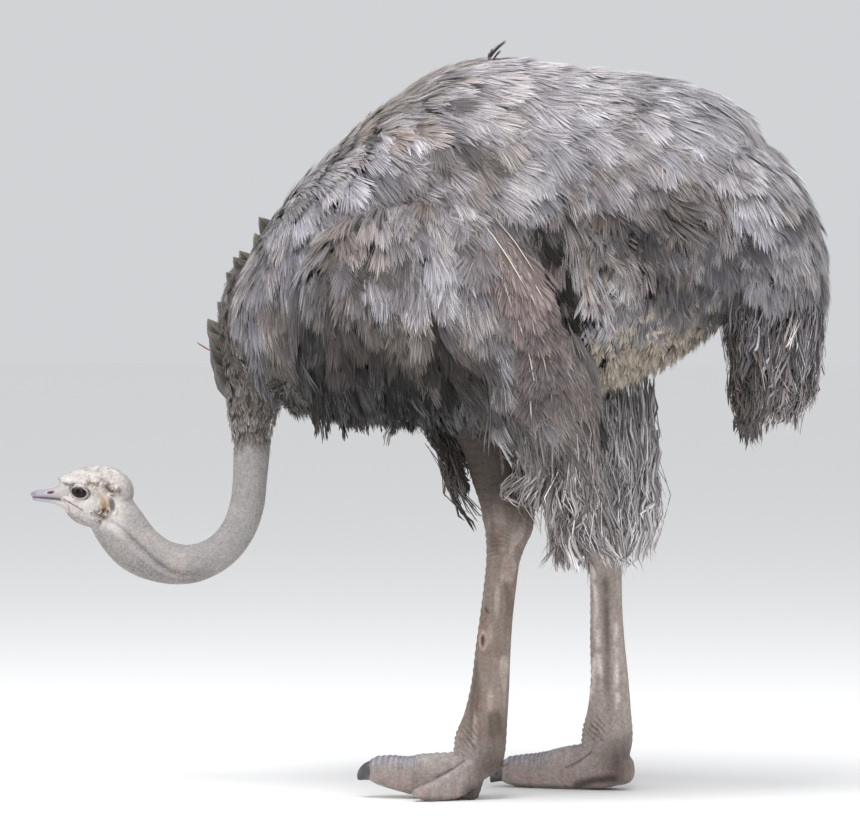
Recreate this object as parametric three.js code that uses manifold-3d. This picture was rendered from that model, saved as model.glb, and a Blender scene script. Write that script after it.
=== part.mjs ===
// Life-size common ostrich hen. She stands with her neck hung down, her head low and her bill
// held forward, in full grey plumage down to the frayed tips of wings and tail.
//
// Millimetres, +Z up. She faces -Y and +X is her left side. The origin is on the floor, under
// the middle of her overall length.
//
// Each form is a loft: rings of points round a smooth line through a few stations. A station is
//   [across, back, up, half width, reach on the upper side, reach on the lower side].
// On a line that leaves the trunk downwards, as a leg does, the upper side is the rear one.
import * as THREE from "three";
import { mergeVertices } from "three/addons/utils/BufferGeometryUtils.js";
import Module from "manifold-3d";

const wasm = await Module();
wasm.setup();

// ---------------------------------------------------------------- driving dimensions
const GAP = 0.4; // left between neighbouring solids
const STANCE = 100; // each foot stands this far out from the midline
const HIP = 112; // and each leg leaves the body this far out
const STRIDE = 200; // the right foot stands this far behind the left one
const HIP_STRIDE = 145; // and the right thigh this far behind the left one
const LEFT_FOOT_BACK = 108; // the left foot's own joint, along the body
const TOE_OUT = 0.1; // radians that each foot turns outwards
const TOE_LIFT = new Map([[1, 26], [-1, 4]]); // height of each raised toe tip, by side
const EYE_RADIUS = 17.5;
const EYE = [22, -641, 537]; // centre of the left eyeball
const BARB_STEP = 10; // a row of feather tips stands this proud of the row below it

// ---------------------------------------------------------------- colours
const finish = (color, roughness) =>
  new THREE.MeshStandardMaterial({ color, roughness, metalness: 0 });
const PLUMAGE = finish(0x857b76, 0.9);
const DARK_PLUMAGE = finish(0x6d6460, 0.9);
const NECK_DOWN = finish(0xb9b1aa, 0.85);
const LEG_SKIN = finish(0x8d7f73, 0.6);
const BILL_HORN = finish(0xb5a3a6, 0.45);
const CLAW_HORN = finish(0x4a474a, 0.4);
const EYE_BROWN = finish(0x1d1210, 0.08);

// ---------------------------------------------------------------- lofts
// A closed surface over rings of equal length, with a fan over each end.
function surfaceOver(rings) {
  const sides = rings[0].length;
  const points = rings.flat();
  const faces = [];
  for (let ring = 0; ring < rings.length - 1; ring++) {
    for (let side = 0; side < sides; side++) {
      const a = ring * sides + side;
      const b = ring * sides + ((side + 1) % sides);
      faces.push(a, b, b + sides, a, b + sides, a + sides);
    }
  }
  for (const end of [0, rings.length - 1]) {
    const hub = points.length;
    const middle = rings[end].reduce((sum, p) => sum.add(p), new THREE.Vector3());
    points.push(middle.divideScalar(sides));
    for (let side = 0; side < sides; side++) {
      const a = end * sides + side;
      const b = end * sides + ((side + 1) % sides);
      faces.push(...(end === 0 ? [hub, b, a] : [hub, a, b]));
    }
  }
  return new THREE.BufferGeometry().setFromPoints(points).setIndex(faces);
}

const power = (value, exponent) => Math.sign(value) * Math.abs(value) ** exponent;

// Rings along the stations. `upright` keeps every ring in a plane across the body's length.
// `rows` breaks the surface into that many overlapping rows of scalloped feather tips.
// `lean` pushes the lower side outwards, away from the midline. `grow` fattens it all over.
function loft(stations, options = {}) {
  const { rings = 12, sides = 16, upright = false, grow = 0, square = 2 } = options;
  const { from = 0, to = stations.length - 1, rows = 0, step = BARB_STEP, lean = 0 } = options;
  const line = new THREE.CatmullRomCurve3(
    stations.map(([x, y, z]) => new THREE.Vector3(x, y, z)), false, "centripetal");
  const reach = new THREE.CatmullRomCurve3(
    stations.map(([, , , half, upper, lower]) => new THREE.Vector3(half, upper, lower)));
  const across = new THREE.Vector3(1, 0, 0);
  const share = (place) => (from + (to - from) * place) / (stations.length - 1);

  const ringAt = (place, proud, scallop) =>
    Array.from({ length: sides }, (_, k) => {
      const at = share(Math.min(1, place + scallop * (k % 2 ? 1 : -1)));
      const along = line.getTangent(at);
      const beyond = grow * ((place === 1) - (place === 0));
      const centre = line.getPoint(at).addScaledVector(along, beyond);
      const size = reach.getPoint(at);
      const up = upright
        ? new THREE.Vector3(0, 0, 1)
        : new THREE.Vector3().crossVectors(across, along).normalize();
      const turn = (2 * Math.PI * k) / sides;
      const rise = power(Math.sin(turn), 2 / square);
      const spread = power(Math.cos(turn), 2 / square);
      const tall = (rise > 0 ? size.y : size.z) + grow + proud;
      const point = centre.addScaledVector(up, rise * Math.max(tall, 1));
      point.x += spread * Math.max(size.x + grow + proud, 1);
      point.x += Math.sign(point.x) * lean * Math.max(0, -rise) ** 2;
      return point;
    });

  const made = [];
  if (rows) {
    const pitch = 1 / (rows + 1);
    made.push(ringAt(0, 0, 0));
    for (let row = 1; row <= rows; row++) {
      const scallop = 0.22 * pitch * (row % 2 ? 1 : -1);
      made.push(ringAt(row * pitch, step / 2, scallop));
      made.push(ringAt((row + 0.12) * pitch, -step / 2, scallop));
    }
    made.push(ringAt(1, 0, 0));
  } else {
    for (let ring = 0; ring <= rings; ring++) made.push(ringAt(ring / rings, 0, 0));
  }
  return solidOf(surfaceOver(made));
}

// ---------------------------------------------------------------- solids
// A closed geometry as a solid that can be joined and cut, whichever way its faces turn.
function solidOf(geometry) {
  const bare = geometry.clone();
  bare.deleteAttribute("normal");
  bare.deleteAttribute("uv");
  const merged = mergeVertices(bare, 1e-4);
  const build = (triVerts) =>
    new wasm.Manifold(new wasm.Mesh({
      numProp: 3,
      vertProperties: merged.getAttribute("position").array,
      triVerts,
    }));
  const facing = new Uint32Array(merged.index.array);
  const solid = build(facing);
  return solid.volume() > 0 ? solid : build(facing.slice().reverse());
}

const joined = (solids) => solids.reduce((whole, next) => whole.add(next));
const cutBy = (solid, ...others) => others.reduce((rest, other) => rest.subtract(other), solid);
const largest = (solid) =>
  solid.decompose().reduce((best, next) => (next.volume() > best.volume() ? next : best));

function ellipsoid([x, y, z], [rx, ry, rz], detail = 16) {
  const ball = new THREE.SphereGeometry(1, detail, Math.round(detail * 0.75));
  return solidOf(ball.scale(rx, ry, rz).translate(x, y, z));
}

// A hanging lock of plume: a flat tapered blade from its root to its tip.
function lock(root, tip, half, thick, grow = 0) {
  const start = new THREE.Vector3(...root);
  const end = new THREE.Vector3(...tip);
  const profile = [[0, 0.7], [0.45, 1.1], [0.82, 0.8], [1, 0.14]];
  const stations = profile.map(([along, fat]) => {
    const at = start.clone().lerp(end, along);
    return [at.x, at.y, at.z, thick * fat, half * fat, half * fat];
  });
  return loft(stations, { rings: 3, sides: 4, grow });
}

// A mesh with its origin at the pivot, hung in its group.
function addNode(group, name, solid, material, pivot) {
  const { numProp, numVert, vertProperties, triVerts } = largest(solid).getMesh();
  const places = new Float32Array(numVert * 3);
  for (let v = 0; v < numVert; v++) {
    places.set(vertProperties.subarray(v * numProp, v * numProp + 3), v * 3);
  }
  const geometry = new THREE.BufferGeometry()
    .setAttribute("position", new THREE.BufferAttribute(places, 3))
    .setIndex(new THREE.BufferAttribute(triVerts, 1))
    .translate(...pivot.map((value) => -value));
  geometry.computeVertexNormals();
  const mesh = new THREE.Mesh(geometry, material);
  mesh.name = name;
  mesh.position.set(...pivot);
  group.add(mesh);
}

const mirrored = (stations, side) => stations.map(([x, ...rest]) => [x * side, ...rest]);
const nameOf = (part, side) => `${part}_${side > 0 ? "left" : "right"}`;

// ---------------------------------------------------------------- trunk
// A station of a form that is given by its top and bottom heights.
const slab = (across, back, top, bottom, half, widest = 0.5) => {
  const centre = bottom + (top - bottom) * widest;
  return [across, back, centre, half, top - centre, centre - bottom];
};

const TRUNK = [
  slab(0, -362, 872, 810, 22),
  slab(0, -353, 914, 784, 66),
  slab(0, -330, 970, 757, 108),
  slab(0, -290, 1034, 727, 152),
  slab(0, -230, 1106, 704, 186),
  slab(0, -150, 1184, 690, 214),
  slab(0, -50, 1265, 684, 238),
  slab(0, 50, 1317, 686, 248),
  slab(0, 145, 1325, 697, 249),
  slab(0, 250, 1313, 722, 241),
  slab(0, 385, 1294, 764, 220),
  slab(0, 470, 1280, 812, 194),
  slab(0, 545, 1238, 872, 162),
  slab(0, 598, 1174, 940, 116),
  slab(0, 620, 1100, 1010, 54),
];

// Loose belly plumes that hang between the thighs, and the tuft that stands up on the back.
const BELLY_LOCKS = [
  { out: 50, back: 12, fall: 606 },
  { out: 50, back: 56, fall: 536 },
  { out: 54, back: 88, fall: 480 },
  { out: -48, back: 24, fall: 596 },
  { out: -52, back: 96, fall: 566 },
  { out: 0, back: 206, fall: 628 },
];
const BACK_TUFT = { root: [0, 70, 1290], tip: [0, 132, 1342], half: 22, thick: 20 };

const trunkSolid = (grow) =>
  joined([
    loft(TRUNK, { upright: true, sides: 18, rows: 7, square: 2.25, grow }),
    ...BELLY_LOCKS.map(({ out, back, fall }) =>
      lock([out, back - 16, 760], [out * 1.1, back + 6, fall], 27, 16, grow)),
    lock(BACK_TUFT.root, BACK_TUFT.tip, BACK_TUFT.half, BACK_TUFT.thick, grow),
  ]);

// ---------------------------------------------------------------- wings
// Each folded wing is a shield over the flank, open below, with a frayed hem.
const WING = [
  slab(150, -214, 905, 850, 36),
  slab(150, -196, 965, 785, 86),
  slab(156, -146, 1028, 730, 116),
  slab(162, -60, 1082, 708, 130),
  slab(164, 46, 1104, 690, 134),
  slab(162, 135, 1088, 662, 132),
  slab(158, 206, 1020, 640, 124),
  slab(152, 262, 925, 640, 108),
  slab(146, 306, 800, 668, 70),
  slab(146, 318, 760, 700, 30),
];
const WING_LEAN = 34;
const HEM_LOCKS = 7;
const HEM = { front: -176, back: 216, level: 676, droop: 0.0015, ragged: 20 };

const wingLocks = (side, grow) =>
  Array.from({ length: HEM_LOCKS }, (_, k) => {
    const along = k / (HEM_LOCKS - 1);
    const back = HEM.front + (HEM.back - HEM.front) * along;
    const out = (190 + 26 * Math.sin(Math.PI * along)) * side;
    const fall = HEM.level - HEM.droop * Math.max(0, back + 70) ** 2 - HEM.ragged * (k % 2);
    return lock([out, back - 14, 790], [out * 0.98, back + 10, fall], 36, 24, grow);
  });

const wingSolid = (side, grow) =>
  joined([
    loft(mirrored(WING, side), {
      upright: true, sides: 12, rows: 4, square: 2.2, lean: WING_LEAN, grow,
    }),
    ...wingLocks(side, grow),
  ]);

// ---------------------------------------------------------------- hanging wing plumes
// The long outer plumes of each wing, hung down behind the thigh in a frayed bundle.
const PLUME_BUNDLE = [
  { back: 200, fall: 556, half: 34 },
  { back: 236, fall: 526, half: 32 },
  { back: 268, fall: 456, half: 32 },
  { back: 296, fall: 412, half: 32 },
  { back: 326, fall: 432, half: 28 },
];
const PLUME_ROOT_UP = 760;
const RIGHT_PLUMES = { back: 20, lower: 30 }; // those of the right wing hang further back

const plumeSolid = (side, grow) =>
  joined(
    PLUME_BUNDLE.map(({ back, fall, half }, k) => {
      const out = (202 + 9 * (k % 2)) * side;
      const at = back + (side > 0 ? 0 : RIGHT_PLUMES.back);
      const low = fall - (side > 0 ? 0 : RIGHT_PLUMES.lower);
      return lock([out, at - 6, PLUME_ROOT_UP], [out * 0.96, at + 8, low], half, 24, grow);
    }),
  );

// ---------------------------------------------------------------- tail
// The tail droops off the rump and ends in long, limp plumes.
const TAIL = [
  [0, 505, 1130, 150, 100, 110],
  [0, 558, 1068, 170, 108, 112],
  [0, 599, 1000, 174, 106, 108],
  [0, 618, 930, 168, 98, 98],
  [0, 620, 860, 154, 96, 96],
  [0, 623, 797, 136, 82, 78],
  [0, 622, 745, 110, 70, 66],
  [0, 612, 700, 72, 56, 52],
];
const TAIL_LOCKS = 5;

const tailSolid = (grow) =>
  joined([
  loft(TAIL, { sides: 12, rows: 4, square: 2.2, step: 8, grow }),
    ...Array.from({ length: TAIL_LOCKS }, (_, k) => {
      const spread = (2 * k) / (TAIL_LOCKS - 1) - 1;
      const ragged = 28 * (k % 2);
      const tip = [spread * 100, 592 + ragged, 622 + ragged + 46 * spread ** 2];
      return lock([spread * 92, 612, 830], tip, 50, 32, grow);
    }),
  ]);

// ---------------------------------------------------------------- neck
// From the feathered base in the breast, straight down and forward round to the head.
const NECK = [
  [0, -262, 925, 116, 94, 98],
  [0, -292, 845, 96, 88, 99],
  [0, -319, 765, 69, 66, 70],
  [0, -323, 706, 54, 52, 52],
  [0, -327, 660, 42, 42, 43],
  [0, -328, 615, 33, 34, 34],
  [0, -331, 564, 30, 31, 31],
  [0, -337, 513, 30, 31, 31],
  [0, -356, 465, 29, 31, 31],
  [0, -391, 427, 30, 32, 32],
  [0, -441, 407, 31, 35, 35],
  [0, -494, 412, 32, 40, 39],
  [0, -540, 436, 33, 47, 46],
  [0, -573, 474, 34, 48, 48],
  [0, -592, 506, 34, 45, 45],
];
const FEATHER_LINE = 5; // the station where the feathered base ends
const UNDER_BEND = 10; // the station at the bottom of the bend
const SLIT = 0.007; // half of the cut between two lengths, in stations

const neckBase = (grow) =>
  loft(NECK, { to: FEATHER_LINE - SLIT, sides: 12, rows: 4, step: 6, grow });
const neckLength = (from, to) => loft(NECK, { from, to, rings: 9, sides: 12 });

// ---------------------------------------------------------------- head
const HEAD = [
  slab(0, -683, 555, 522, 17),
  slab(0, -676, 564, 505, 24),
  slab(0, -661, 573, 486, 29),
  slab(0, -640, 580, 475, 33.5),
  slab(0, -613, 584, 471, 34.5),
  slab(0, -590, 581, 476, 33),
  slab(0, -570, 572, 490, 29.5),
  slab(0, -556, 559, 510, 23),
  slab(0, -549, 546, 527, 12),
];
const UPPER_BILL = [
  slab(0, -739, 531.5, 528.6, 3.5),
  slab(0, -736.5, 535, 527.2, 10),
  slab(0, -728, 538.3, 525.8, 16),
  slab(0, -712, 539.4, 524.4, 20),
  slab(0, -696, 543, 523.2, 23.5),
  slab(0, -680, 549.5, 521.6, 26.5),
  slab(0, -662, 557, 519, 28),
];
const LOWER_BILL = [
  slab(0, -735.5, 527.2, 523.8, 4),
  slab(0, -731, 526, 520, 12),
  slab(0, -717, 524.4, 517.4, 17),
  slab(0, -698, 523, 514.4, 20.5),
  slab(0, -680, 521.4, 507, 24),
  slab(0, -662, 519, 495, 27),
];
const EAR = [31.5, -578, 516]; // centre of the left ear opening
const NOSTRIL = [14, -697, 536.5];

const headSolid = (grow) => loft(HEAD, { upright: true, rings: 10, sides: 14, square: 2.2, grow });

// The rim of the lids: a flattened ring on the side of the head.
function lidRim(side) {
  const ring = new THREE.TorusGeometry(15.5, 4, 4, 10).rotateY(Math.PI / 2).scale(1, 1.02, 0.86);
  return solidOf(ring.translate((EYE[0] + 10.5) * side, EYE[1], EYE[2]));
}

const eyeball = (side, grow) =>
  ellipsoid([EYE[0] * side, EYE[1], EYE[2]], Array(3).fill(EYE_RADIUS + grow), 10);

// ---------------------------------------------------------------- legs
// The left leg from inside the thigh to the foot joint, with the ankle between its two parts.
const LEG = [
  [HIP, 92, 800, 84, 96, 92],
  [HIP, 110, 733, 72, 82, 80],
  [HIP - 2, 136, 636, 50, 61, 60],
  [HIP - 4, 149, 582, 43, 56, 56],
  [HIP - 6, 158, 530, 38, 50, 49],
  [HIP - 7, 160, 490, 35, 45, 45],
  [HIP - 8, 155, 458, 30, 36, 36],
  [HIP - 9, 150, 425, 26, 30, 30],
  [HIP - 9, 145, 382, 23, 29, 29],
  [HIP - 10, 138, 325, 22, 29.5, 29.5],
  [HIP - 11, 132, 265, 23, 31.5, 32],
  [HIP - 11, 127, 200, 24, 34, 35],
  [HIP - 12, 119, 145, 28, 39, 40],
  [STANCE, 110, 98, 33, 45, 48],
  [STANCE, 106, 50, 32, 40, 42],
];
const ANKLE = 5; // the station at the ankle
const ANKLE_UP = LEG[ANKLE][2];

// Foot stations, from the joint over the floor. The sole is pressed flat at floor level.
const LONG_TOE = [
  slab(0, 50, 50, 28, 11),
  slab(0, 43, 60, 14, 22),
  slab(0, 22, 74, -1, 31),
  slab(0, -10, 83, -7, 34),
  slab(0, -50, 80, -7, 32),
  slab(0, -88, 72, -7, 30),
  slab(0, -122, 61, -7, 29),
  slab(0, -154, 56, -4, 28),
  slab(0, -182, 50, 1, 24),
  slab(0, -196, 38, 6, 15),
];
const CLAW = [
  slab(0, -178, 42, 8, 17),
  slab(0, -193, 41, 6, 17),
  slab(0, -206, 33, 4, 13.5),
  slab(0, -214, 23, 2, 8),
  slab(0, -218, 14, 3, 3),
];
const SHORT_TOE = [
  [18, 6, 42, 19, 26, 50],
  [32, -30, 30, 20, 25, 38],
  [44, -62, 20, 19, 20, 27],
  [55, -92, 15, 16, 15, 20],
  [61, -110, 12, 11, 11, 14],
  [63, -117, 11, 4, 5, 6],
];

function legForms(side) {
  const footAt = LEFT_FOOT_BACK + (side > 0 ? 0 : STRIDE);
  const lift = (y) => TOE_LIFT.get(side) * Math.max(0, (-40 - y) / 155);
  // Below the ankle the leg swings back evenly, to where its foot stands.
  const legLine = LEG.map(([x, y, z, ...size]) => {
    const share = Math.min(1, Math.max(0, (ANKLE_UP - z) / (ANKLE_UP - 100)));
    const back = side > 0 ? 0 : HIP_STRIDE + (STRIDE - HIP_STRIDE) * share;
    return [x * side, y + back, z, ...size];
  });
  const footed = (stations) =>
    stations.map(([x, y, z, ...size]) => {
      const turned = x - Math.sin(TOE_OUT) * y;
      const raised = Math.abs(x) > 0 ? 0 : lift(y);
      return [(STANCE + turned) * side, footAt + y, z + raised, ...size];
    });
  const aboveFloor = solidOf(
    new THREE.BoxGeometry(600, 1600, 400).translate(0, 0, 200));
  return {
    drumstick: (grow) =>
      loft(legLine, { to: ANKLE - SLIT, rings: 8, sides: 10, grow }),
    shank: (grow) =>
      loft(legLine, { from: ANKLE + SLIT, rings: 12, sides: 10, grow }),
    longToe: (grow) =>
      loft(footed(LONG_TOE), { upright: true, rings: 11, sides: 10, square: 2.5, grow })
        .intersect(aboveFloor),
    claw: (grow) => loft(footed(CLAW), { upright: true, rings: 5, sides: 8, grow }),
    shortToe: (grow) =>
      loft(footed(SHORT_TOE), { upright: true, rings: 7, sides: 8, square: 2.3, grow })
        .intersect(aboveFloor),
  };
}

// ---------------------------------------------------------------- the bird
const bird = new THREE.Group();
bird.name = "ostrich";
const body = new THREE.Group();
const neck = new THREE.Group();
const head = new THREE.Group();
bird.add(body, neck, head);

addNode(body, "trunk", trunkSolid(0), PLUMAGE, [0, 60, 1000]);
addNode(body, "tail", cutBy(tailSolid(0), trunkSolid(GAP)), PLUMAGE, [0, 560, 1090]);

const legs = new Map([1, -1].map((side) => [side, legForms(side)]));
for (const side of [1, -1]) {
  const { drumstick } = legs.get(side);
  const wing = cutBy(wingSolid(side, 0), trunkSolid(GAP), drumstick(GAP));
  addNode(body, nameOf("wing", side), wing, PLUMAGE, [190 * side, -100, 1000]);
  const plumes = cutBy(plumeSolid(side, 0), wingSolid(side, GAP), trunkSolid(GAP), drumstick(GAP));
  addNode(body, nameOf("wing_plumes", side), plumes, DARK_PLUMAGE, [200 * side, 270, 700]);
}

addNode(neck, "neck_base", cutBy(neckBase(0), trunkSolid(GAP)), DARK_PLUMAGE, [0, -320, 760]);
addNode(neck, "neck_middle", neckLength(FEATHER_LINE + SLIT, UNDER_BEND - SLIT), NECK_DOWN,
  [0, -329, 610]);

const eyes = (grow) => [1, -1].map((side) => eyeball(side, grow));
const ears = (grow) =>
  [1, -1].map((side) => ellipsoid([EAR[0] * side, EAR[1], EAR[2]], [5 + grow, 8 + grow, 14 + grow], 8));
addNode(neck, "neck_upper",
  cutBy(neckLength(UNDER_BEND + SLIT, NECK.length - 1), headSolid(GAP), ...ears(GAP)),
  NECK_DOWN, [0, -396, 428]);
const skull = cutBy(joined([headSolid(0), lidRim(1), lidRim(-1)]), ...eyes(GAP));
addNode(head, "head", cutBy(skull, ...ears(GAP)), NECK_DOWN, [0, -610, 530]);
[1, -1].forEach((side, k) => {
  addNode(head, nameOf("eye", side), eyes(0)[k], EYE_BROWN, [EYE[0] * side, EYE[1], EYE[2]]);
  addNode(head, nameOf("ear", side), ears(0)[k], DARK_PLUMAGE, [EAR[0] * side, EAR[1], EAR[2]]);
});
const nostrils = [1, -1].map((side) =>
  ellipsoid([NOSTRIL[0] * side, NOSTRIL[1], NOSTRIL[2]], [4, 5.5, 2], 8));
addNode(head, "bill_upper",
  cutBy(loft(UPPER_BILL, { upright: true, rings: 8, sides: 12, square: 2.3 }),
    headSolid(GAP), ...nostrils), BILL_HORN, [0, -680, 540]);
addNode(head, "bill_lower",
  cutBy(loft(LOWER_BILL, { upright: true, rings: 7, sides: 12, square: 2.3 }),
    headSolid(GAP), loft(UPPER_BILL, { upright: true, rings: 8, sides: 12, square: 2.3, grow: GAP })),
  BILL_HORN, [0, -680, 524]);

for (const [side, { drumstick, shank, longToe, claw, shortToe }] of legs) {
  const leg = new THREE.Group();
  bird.add(leg);
  const footBack = LEFT_FOOT_BACK + (side > 0 ? 0 : STRIDE);
  const joint = [STANCE * side, footBack, 0];
  addNode(leg, nameOf("drumstick", side), cutBy(drumstick(0), trunkSolid(GAP)), LEG_SKIN,
    [HIP * side, 110, 730]);
  addNode(leg, nameOf("shank", side), cutBy(shank(0), drumstick(GAP), longToe(GAP)), LEG_SKIN,
    [(HIP - 7) * side, 166, 493]);
  addNode(leg, nameOf("long_toe", side), longToe(0), LEG_SKIN, joint);
  addNode(leg, nameOf("short_toe", side), cutBy(shortToe(0), longToe(GAP), shank(GAP)), LEG_SKIN,
    joint);
  addNode(leg, nameOf("claw", side), cutBy(claw(0), longToe(GAP)), CLAW_HORN, joint);
}

// The origin moves under the middle of the whole bird.
const middle = new THREE.Box3().setFromObject(bird).getCenter(new THREE.Vector3());
bird.position.set(-middle.x, -middle.y, 0);

export default bird;
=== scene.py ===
import math
from itertools import product

import bmesh
import bpy
import numpy as np
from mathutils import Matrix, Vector
from mathutils.bvhtree import BVHTree


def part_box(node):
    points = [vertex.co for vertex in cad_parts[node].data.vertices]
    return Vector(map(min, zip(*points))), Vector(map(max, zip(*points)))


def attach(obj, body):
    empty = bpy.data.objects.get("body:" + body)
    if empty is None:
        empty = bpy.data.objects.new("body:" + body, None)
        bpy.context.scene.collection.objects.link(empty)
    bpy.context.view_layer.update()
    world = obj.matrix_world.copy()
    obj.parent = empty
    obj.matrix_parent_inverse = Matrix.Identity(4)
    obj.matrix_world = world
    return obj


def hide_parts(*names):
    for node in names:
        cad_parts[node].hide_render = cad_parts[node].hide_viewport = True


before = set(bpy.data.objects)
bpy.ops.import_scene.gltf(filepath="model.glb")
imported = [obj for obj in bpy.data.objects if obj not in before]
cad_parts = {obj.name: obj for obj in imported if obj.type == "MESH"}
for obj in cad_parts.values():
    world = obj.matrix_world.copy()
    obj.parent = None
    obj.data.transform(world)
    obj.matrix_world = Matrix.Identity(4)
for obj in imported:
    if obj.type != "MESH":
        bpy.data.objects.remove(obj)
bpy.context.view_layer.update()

# ---------------------------------------------------------------- camera
# Lengths below are in millimetres, in the bird's own drawing: it faces -Y, +X is its left side
# and the floor is at 0. The left eyeball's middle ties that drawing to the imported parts.
MM = 0.001
EYE = np.array([22.0, -641.0, 537.0])
EYE_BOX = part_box("eye_left")
ORIGIN = np.array([(low + high) / 2 for low, high in zip(*EYE_BOX)]) - EYE * MM

AZIMUTH = math.radians(100)
ELEVATION = math.radians(2)
DISTANCE = 10.0
VIEW_WIDTH = 1.548
VIEW_HEIGHT = 0.673
SENSOR_WIDTH = 36


def add_object(name, data):
    """Puts an object that holds this data into the scene."""
    obj = bpy.data.objects.new(name, data)
    bpy.context.scene.collection.objects.link(obj)
    return obj


def look_along(obj, back):
    """Turns a camera or lamp so that this direction lies behind it."""
    obj.rotation_mode = "QUATERNION"
    obj.rotation_quaternion = back.to_track_quat("Z", "Y")


back = Vector((
    math.sin(AZIMUTH) * math.cos(ELEVATION),
    -math.cos(AZIMUTH) * math.cos(ELEVATION),
    math.sin(ELEVATION),
))
camera = add_object("Camera", bpy.data.cameras.new("Camera"))
camera.location = Vector(ORIGIN) + Vector((0, 0, VIEW_HEIGHT)) + back * DISTANCE
look_along(camera, back)
camera.data.sensor_width = SENSOR_WIDTH
camera.data.lens = SENSOR_WIDTH * DISTANCE / VIEW_WIDTH
camera.data.clip_end = 100
bpy.context.scene.camera = camera

# ---------------------------------------------------------------- floor and studio light
# A pale sweep of paper under a large soft light overhead, with a broad light from the camera's
# side, a weaker one from the front and a white room that fills the shadows.


def linear(code):
    """The linear colour of an sRGB hex code such as "8a7d74"."""
    parts = [int(code[i : i + 2], 16) / 255 for i in (0, 2, 4)]
    return [c / 12.92 if c <= 0.04045 else ((c + 0.055) / 1.055) ** 2.4 for c in parts] + [1.0]


def add_node(tree, kind, settings=None, **links):
    """Adds a node; `settings` sets its properties, and each link feeds or sets one input socket.

    A link is named for its socket, or "i2" for the third socket.
    """
    node = tree.nodes.new(kind)
    for key, value in (settings or {}).items():
        setattr(node, key, value)
    for key, value in links.items():
        socket = node.inputs[int(key[1:]) if key[1:].isdigit() else key.replace("_", " ")]
        if isinstance(value, bpy.types.NodeSocket):
            tree.links.new(value, socket)
        else:
            socket.default_value = value
    return node


def new_material(name, **values):
    """A material with these values on its shader; returns it, its tree and its shader."""
    material = bpy.data.materials.new(name)
    material.use_nodes = True
    shader = material.node_tree.nodes["Principled BSDF"]
    for key, value in values.items():
        shader.inputs[key.replace("_", " ")].default_value = value
    return material, material.node_tree, shader


FLOOR_CORNERS = [(-30, -30, 0), (30, -30, 0), (30, 30, 0), (-30, 30, 0)]
floor = add_object("floor", bpy.data.meshes.new("floor"))
floor.data.from_pydata(FLOOR_CORNERS, [], [(0, 1, 2, 3)])
paper, _, _ = new_material(
    "matt white paper", Base_Color=linear("fdfdfc"), Roughness=0.9, Specular_IOR_Level=0.1
)
floor.data.materials.append(paper)

# Each light: where it stands, what it is aimed at, its width in metres and its power in watts.
LIGHTS = [
    ("overhead", (1.4, -0.3, 4.6), (0, 0, 0.8), 2.8, 165),
    ("camera side", (5.2, 1.6, 2.6), (0, 0, 0.7), 3.0, 62),
    ("front", (2.0, -5.0, 2.4), (0, -0.2, 0.6), 2.4, 28),
]
for name, stand, aim, size, power in LIGHTS:
    lamp = add_object(name, bpy.data.lights.new(name, "AREA"))
    lamp.data.size = size
    lamp.data.energy = power
    lamp.location = stand
    look_along(lamp, Vector(stand) - Vector(aim))

room = bpy.data.worlds.new("white room")
room.use_nodes = True
walls = room.node_tree.nodes["Background"]
walls.inputs["Color"].default_value = linear("f6f7fa")
walls.inputs["Strength"].default_value = 0.7
bpy.context.scene.world = room
bpy.context.scene.view_settings.view_transform = "Standard"

# ---------------------------------------------------------------- body under the coat
# The tanned skin of the trunk, the folded wings and the drooped tail, stretched over a carved
# form. All of it lies under the plumage. A station is [across, back, up, half width, upper
# reach, lower reach]; on a line that runs downwards, the upper side is the rear one.


def slab(across, back, top, bottom, half):
    """A station given by its top and bottom heights."""
    centre = (top + bottom) / 2
    return [across, back, centre, half, top - centre, centre - bottom]


def form(stations, upright=False, square=2.0, lean=0.0, side=1):
    """A form to loft; side -1 is the bird's right."""
    rows = np.array(stations, float)
    rows[:, 0] *= side
    return {"rows": rows, "upright": upright, "square": square, "lean": lean}


def smooth_rows(rows, at):
    """Catmull-Rom values between the rows, at fractional row numbers."""
    at = np.clip(at, 0, len(rows) - 1 - 1e-9)
    first = at.astype(int)
    f = (at - first)[..., None]
    padded = np.vstack([2 * rows[0] - rows[1], rows, 2 * rows[-1] - rows[-2]])
    a, b, c, d = (padded[first + k] for k in range(4))
    return b + 0.5 * f * (c - a + f * (2 * a - 5 * b + 4 * c - d + f * (3 * (b - c) + d - a)))


def surface(shape, at, turn, grow=0.0):
    """Points on a form, at its fractional station and the angle round it."""
    row = smooth_rows(shape["rows"], at)
    up = np.zeros(row.shape[:-1] + (3,))
    up[..., 2] = 1
    if not shape["upright"]:
        ahead = smooth_rows(shape["rows"], at + 0.05) - smooth_rows(shape["rows"], at - 0.05)
        up = np.stack([np.zeros_like(at), -ahead[..., 2], ahead[..., 1]], -1)
        up = up / np.linalg.norm(up, axis=-1, keepdims=True)
    rise = np.sign(np.sin(turn)) * np.abs(np.sin(turn)) ** (2 / shape["square"])
    spread = np.sign(np.cos(turn)) * np.abs(np.cos(turn)) ** (2 / shape["square"])
    reach = np.where(rise > 0, row[..., 4], row[..., 5]) + grow
    point = row[..., :3] + up * (rise * np.maximum(reach, 1))[..., None]
    point[..., 0] += spread * np.maximum(row[..., 3] + grow, 1)
    point[..., 0] += np.sign(point[..., 0]) * shape["lean"] * np.maximum(0, -rise) ** 2
    return point


def ring_faces(rings, sides):
    """The four-cornered faces of a tube whose points run round it, ring after ring."""
    ring, side = np.meshgrid(np.arange(rings - 1), np.arange(sides), indexing="ij")
    a = (ring * sides + side).ravel()
    b = (ring * sides + (side + 1) % sides).ravel()
    return np.stack([a, b, b + sides, a + sides], 1)


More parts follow.
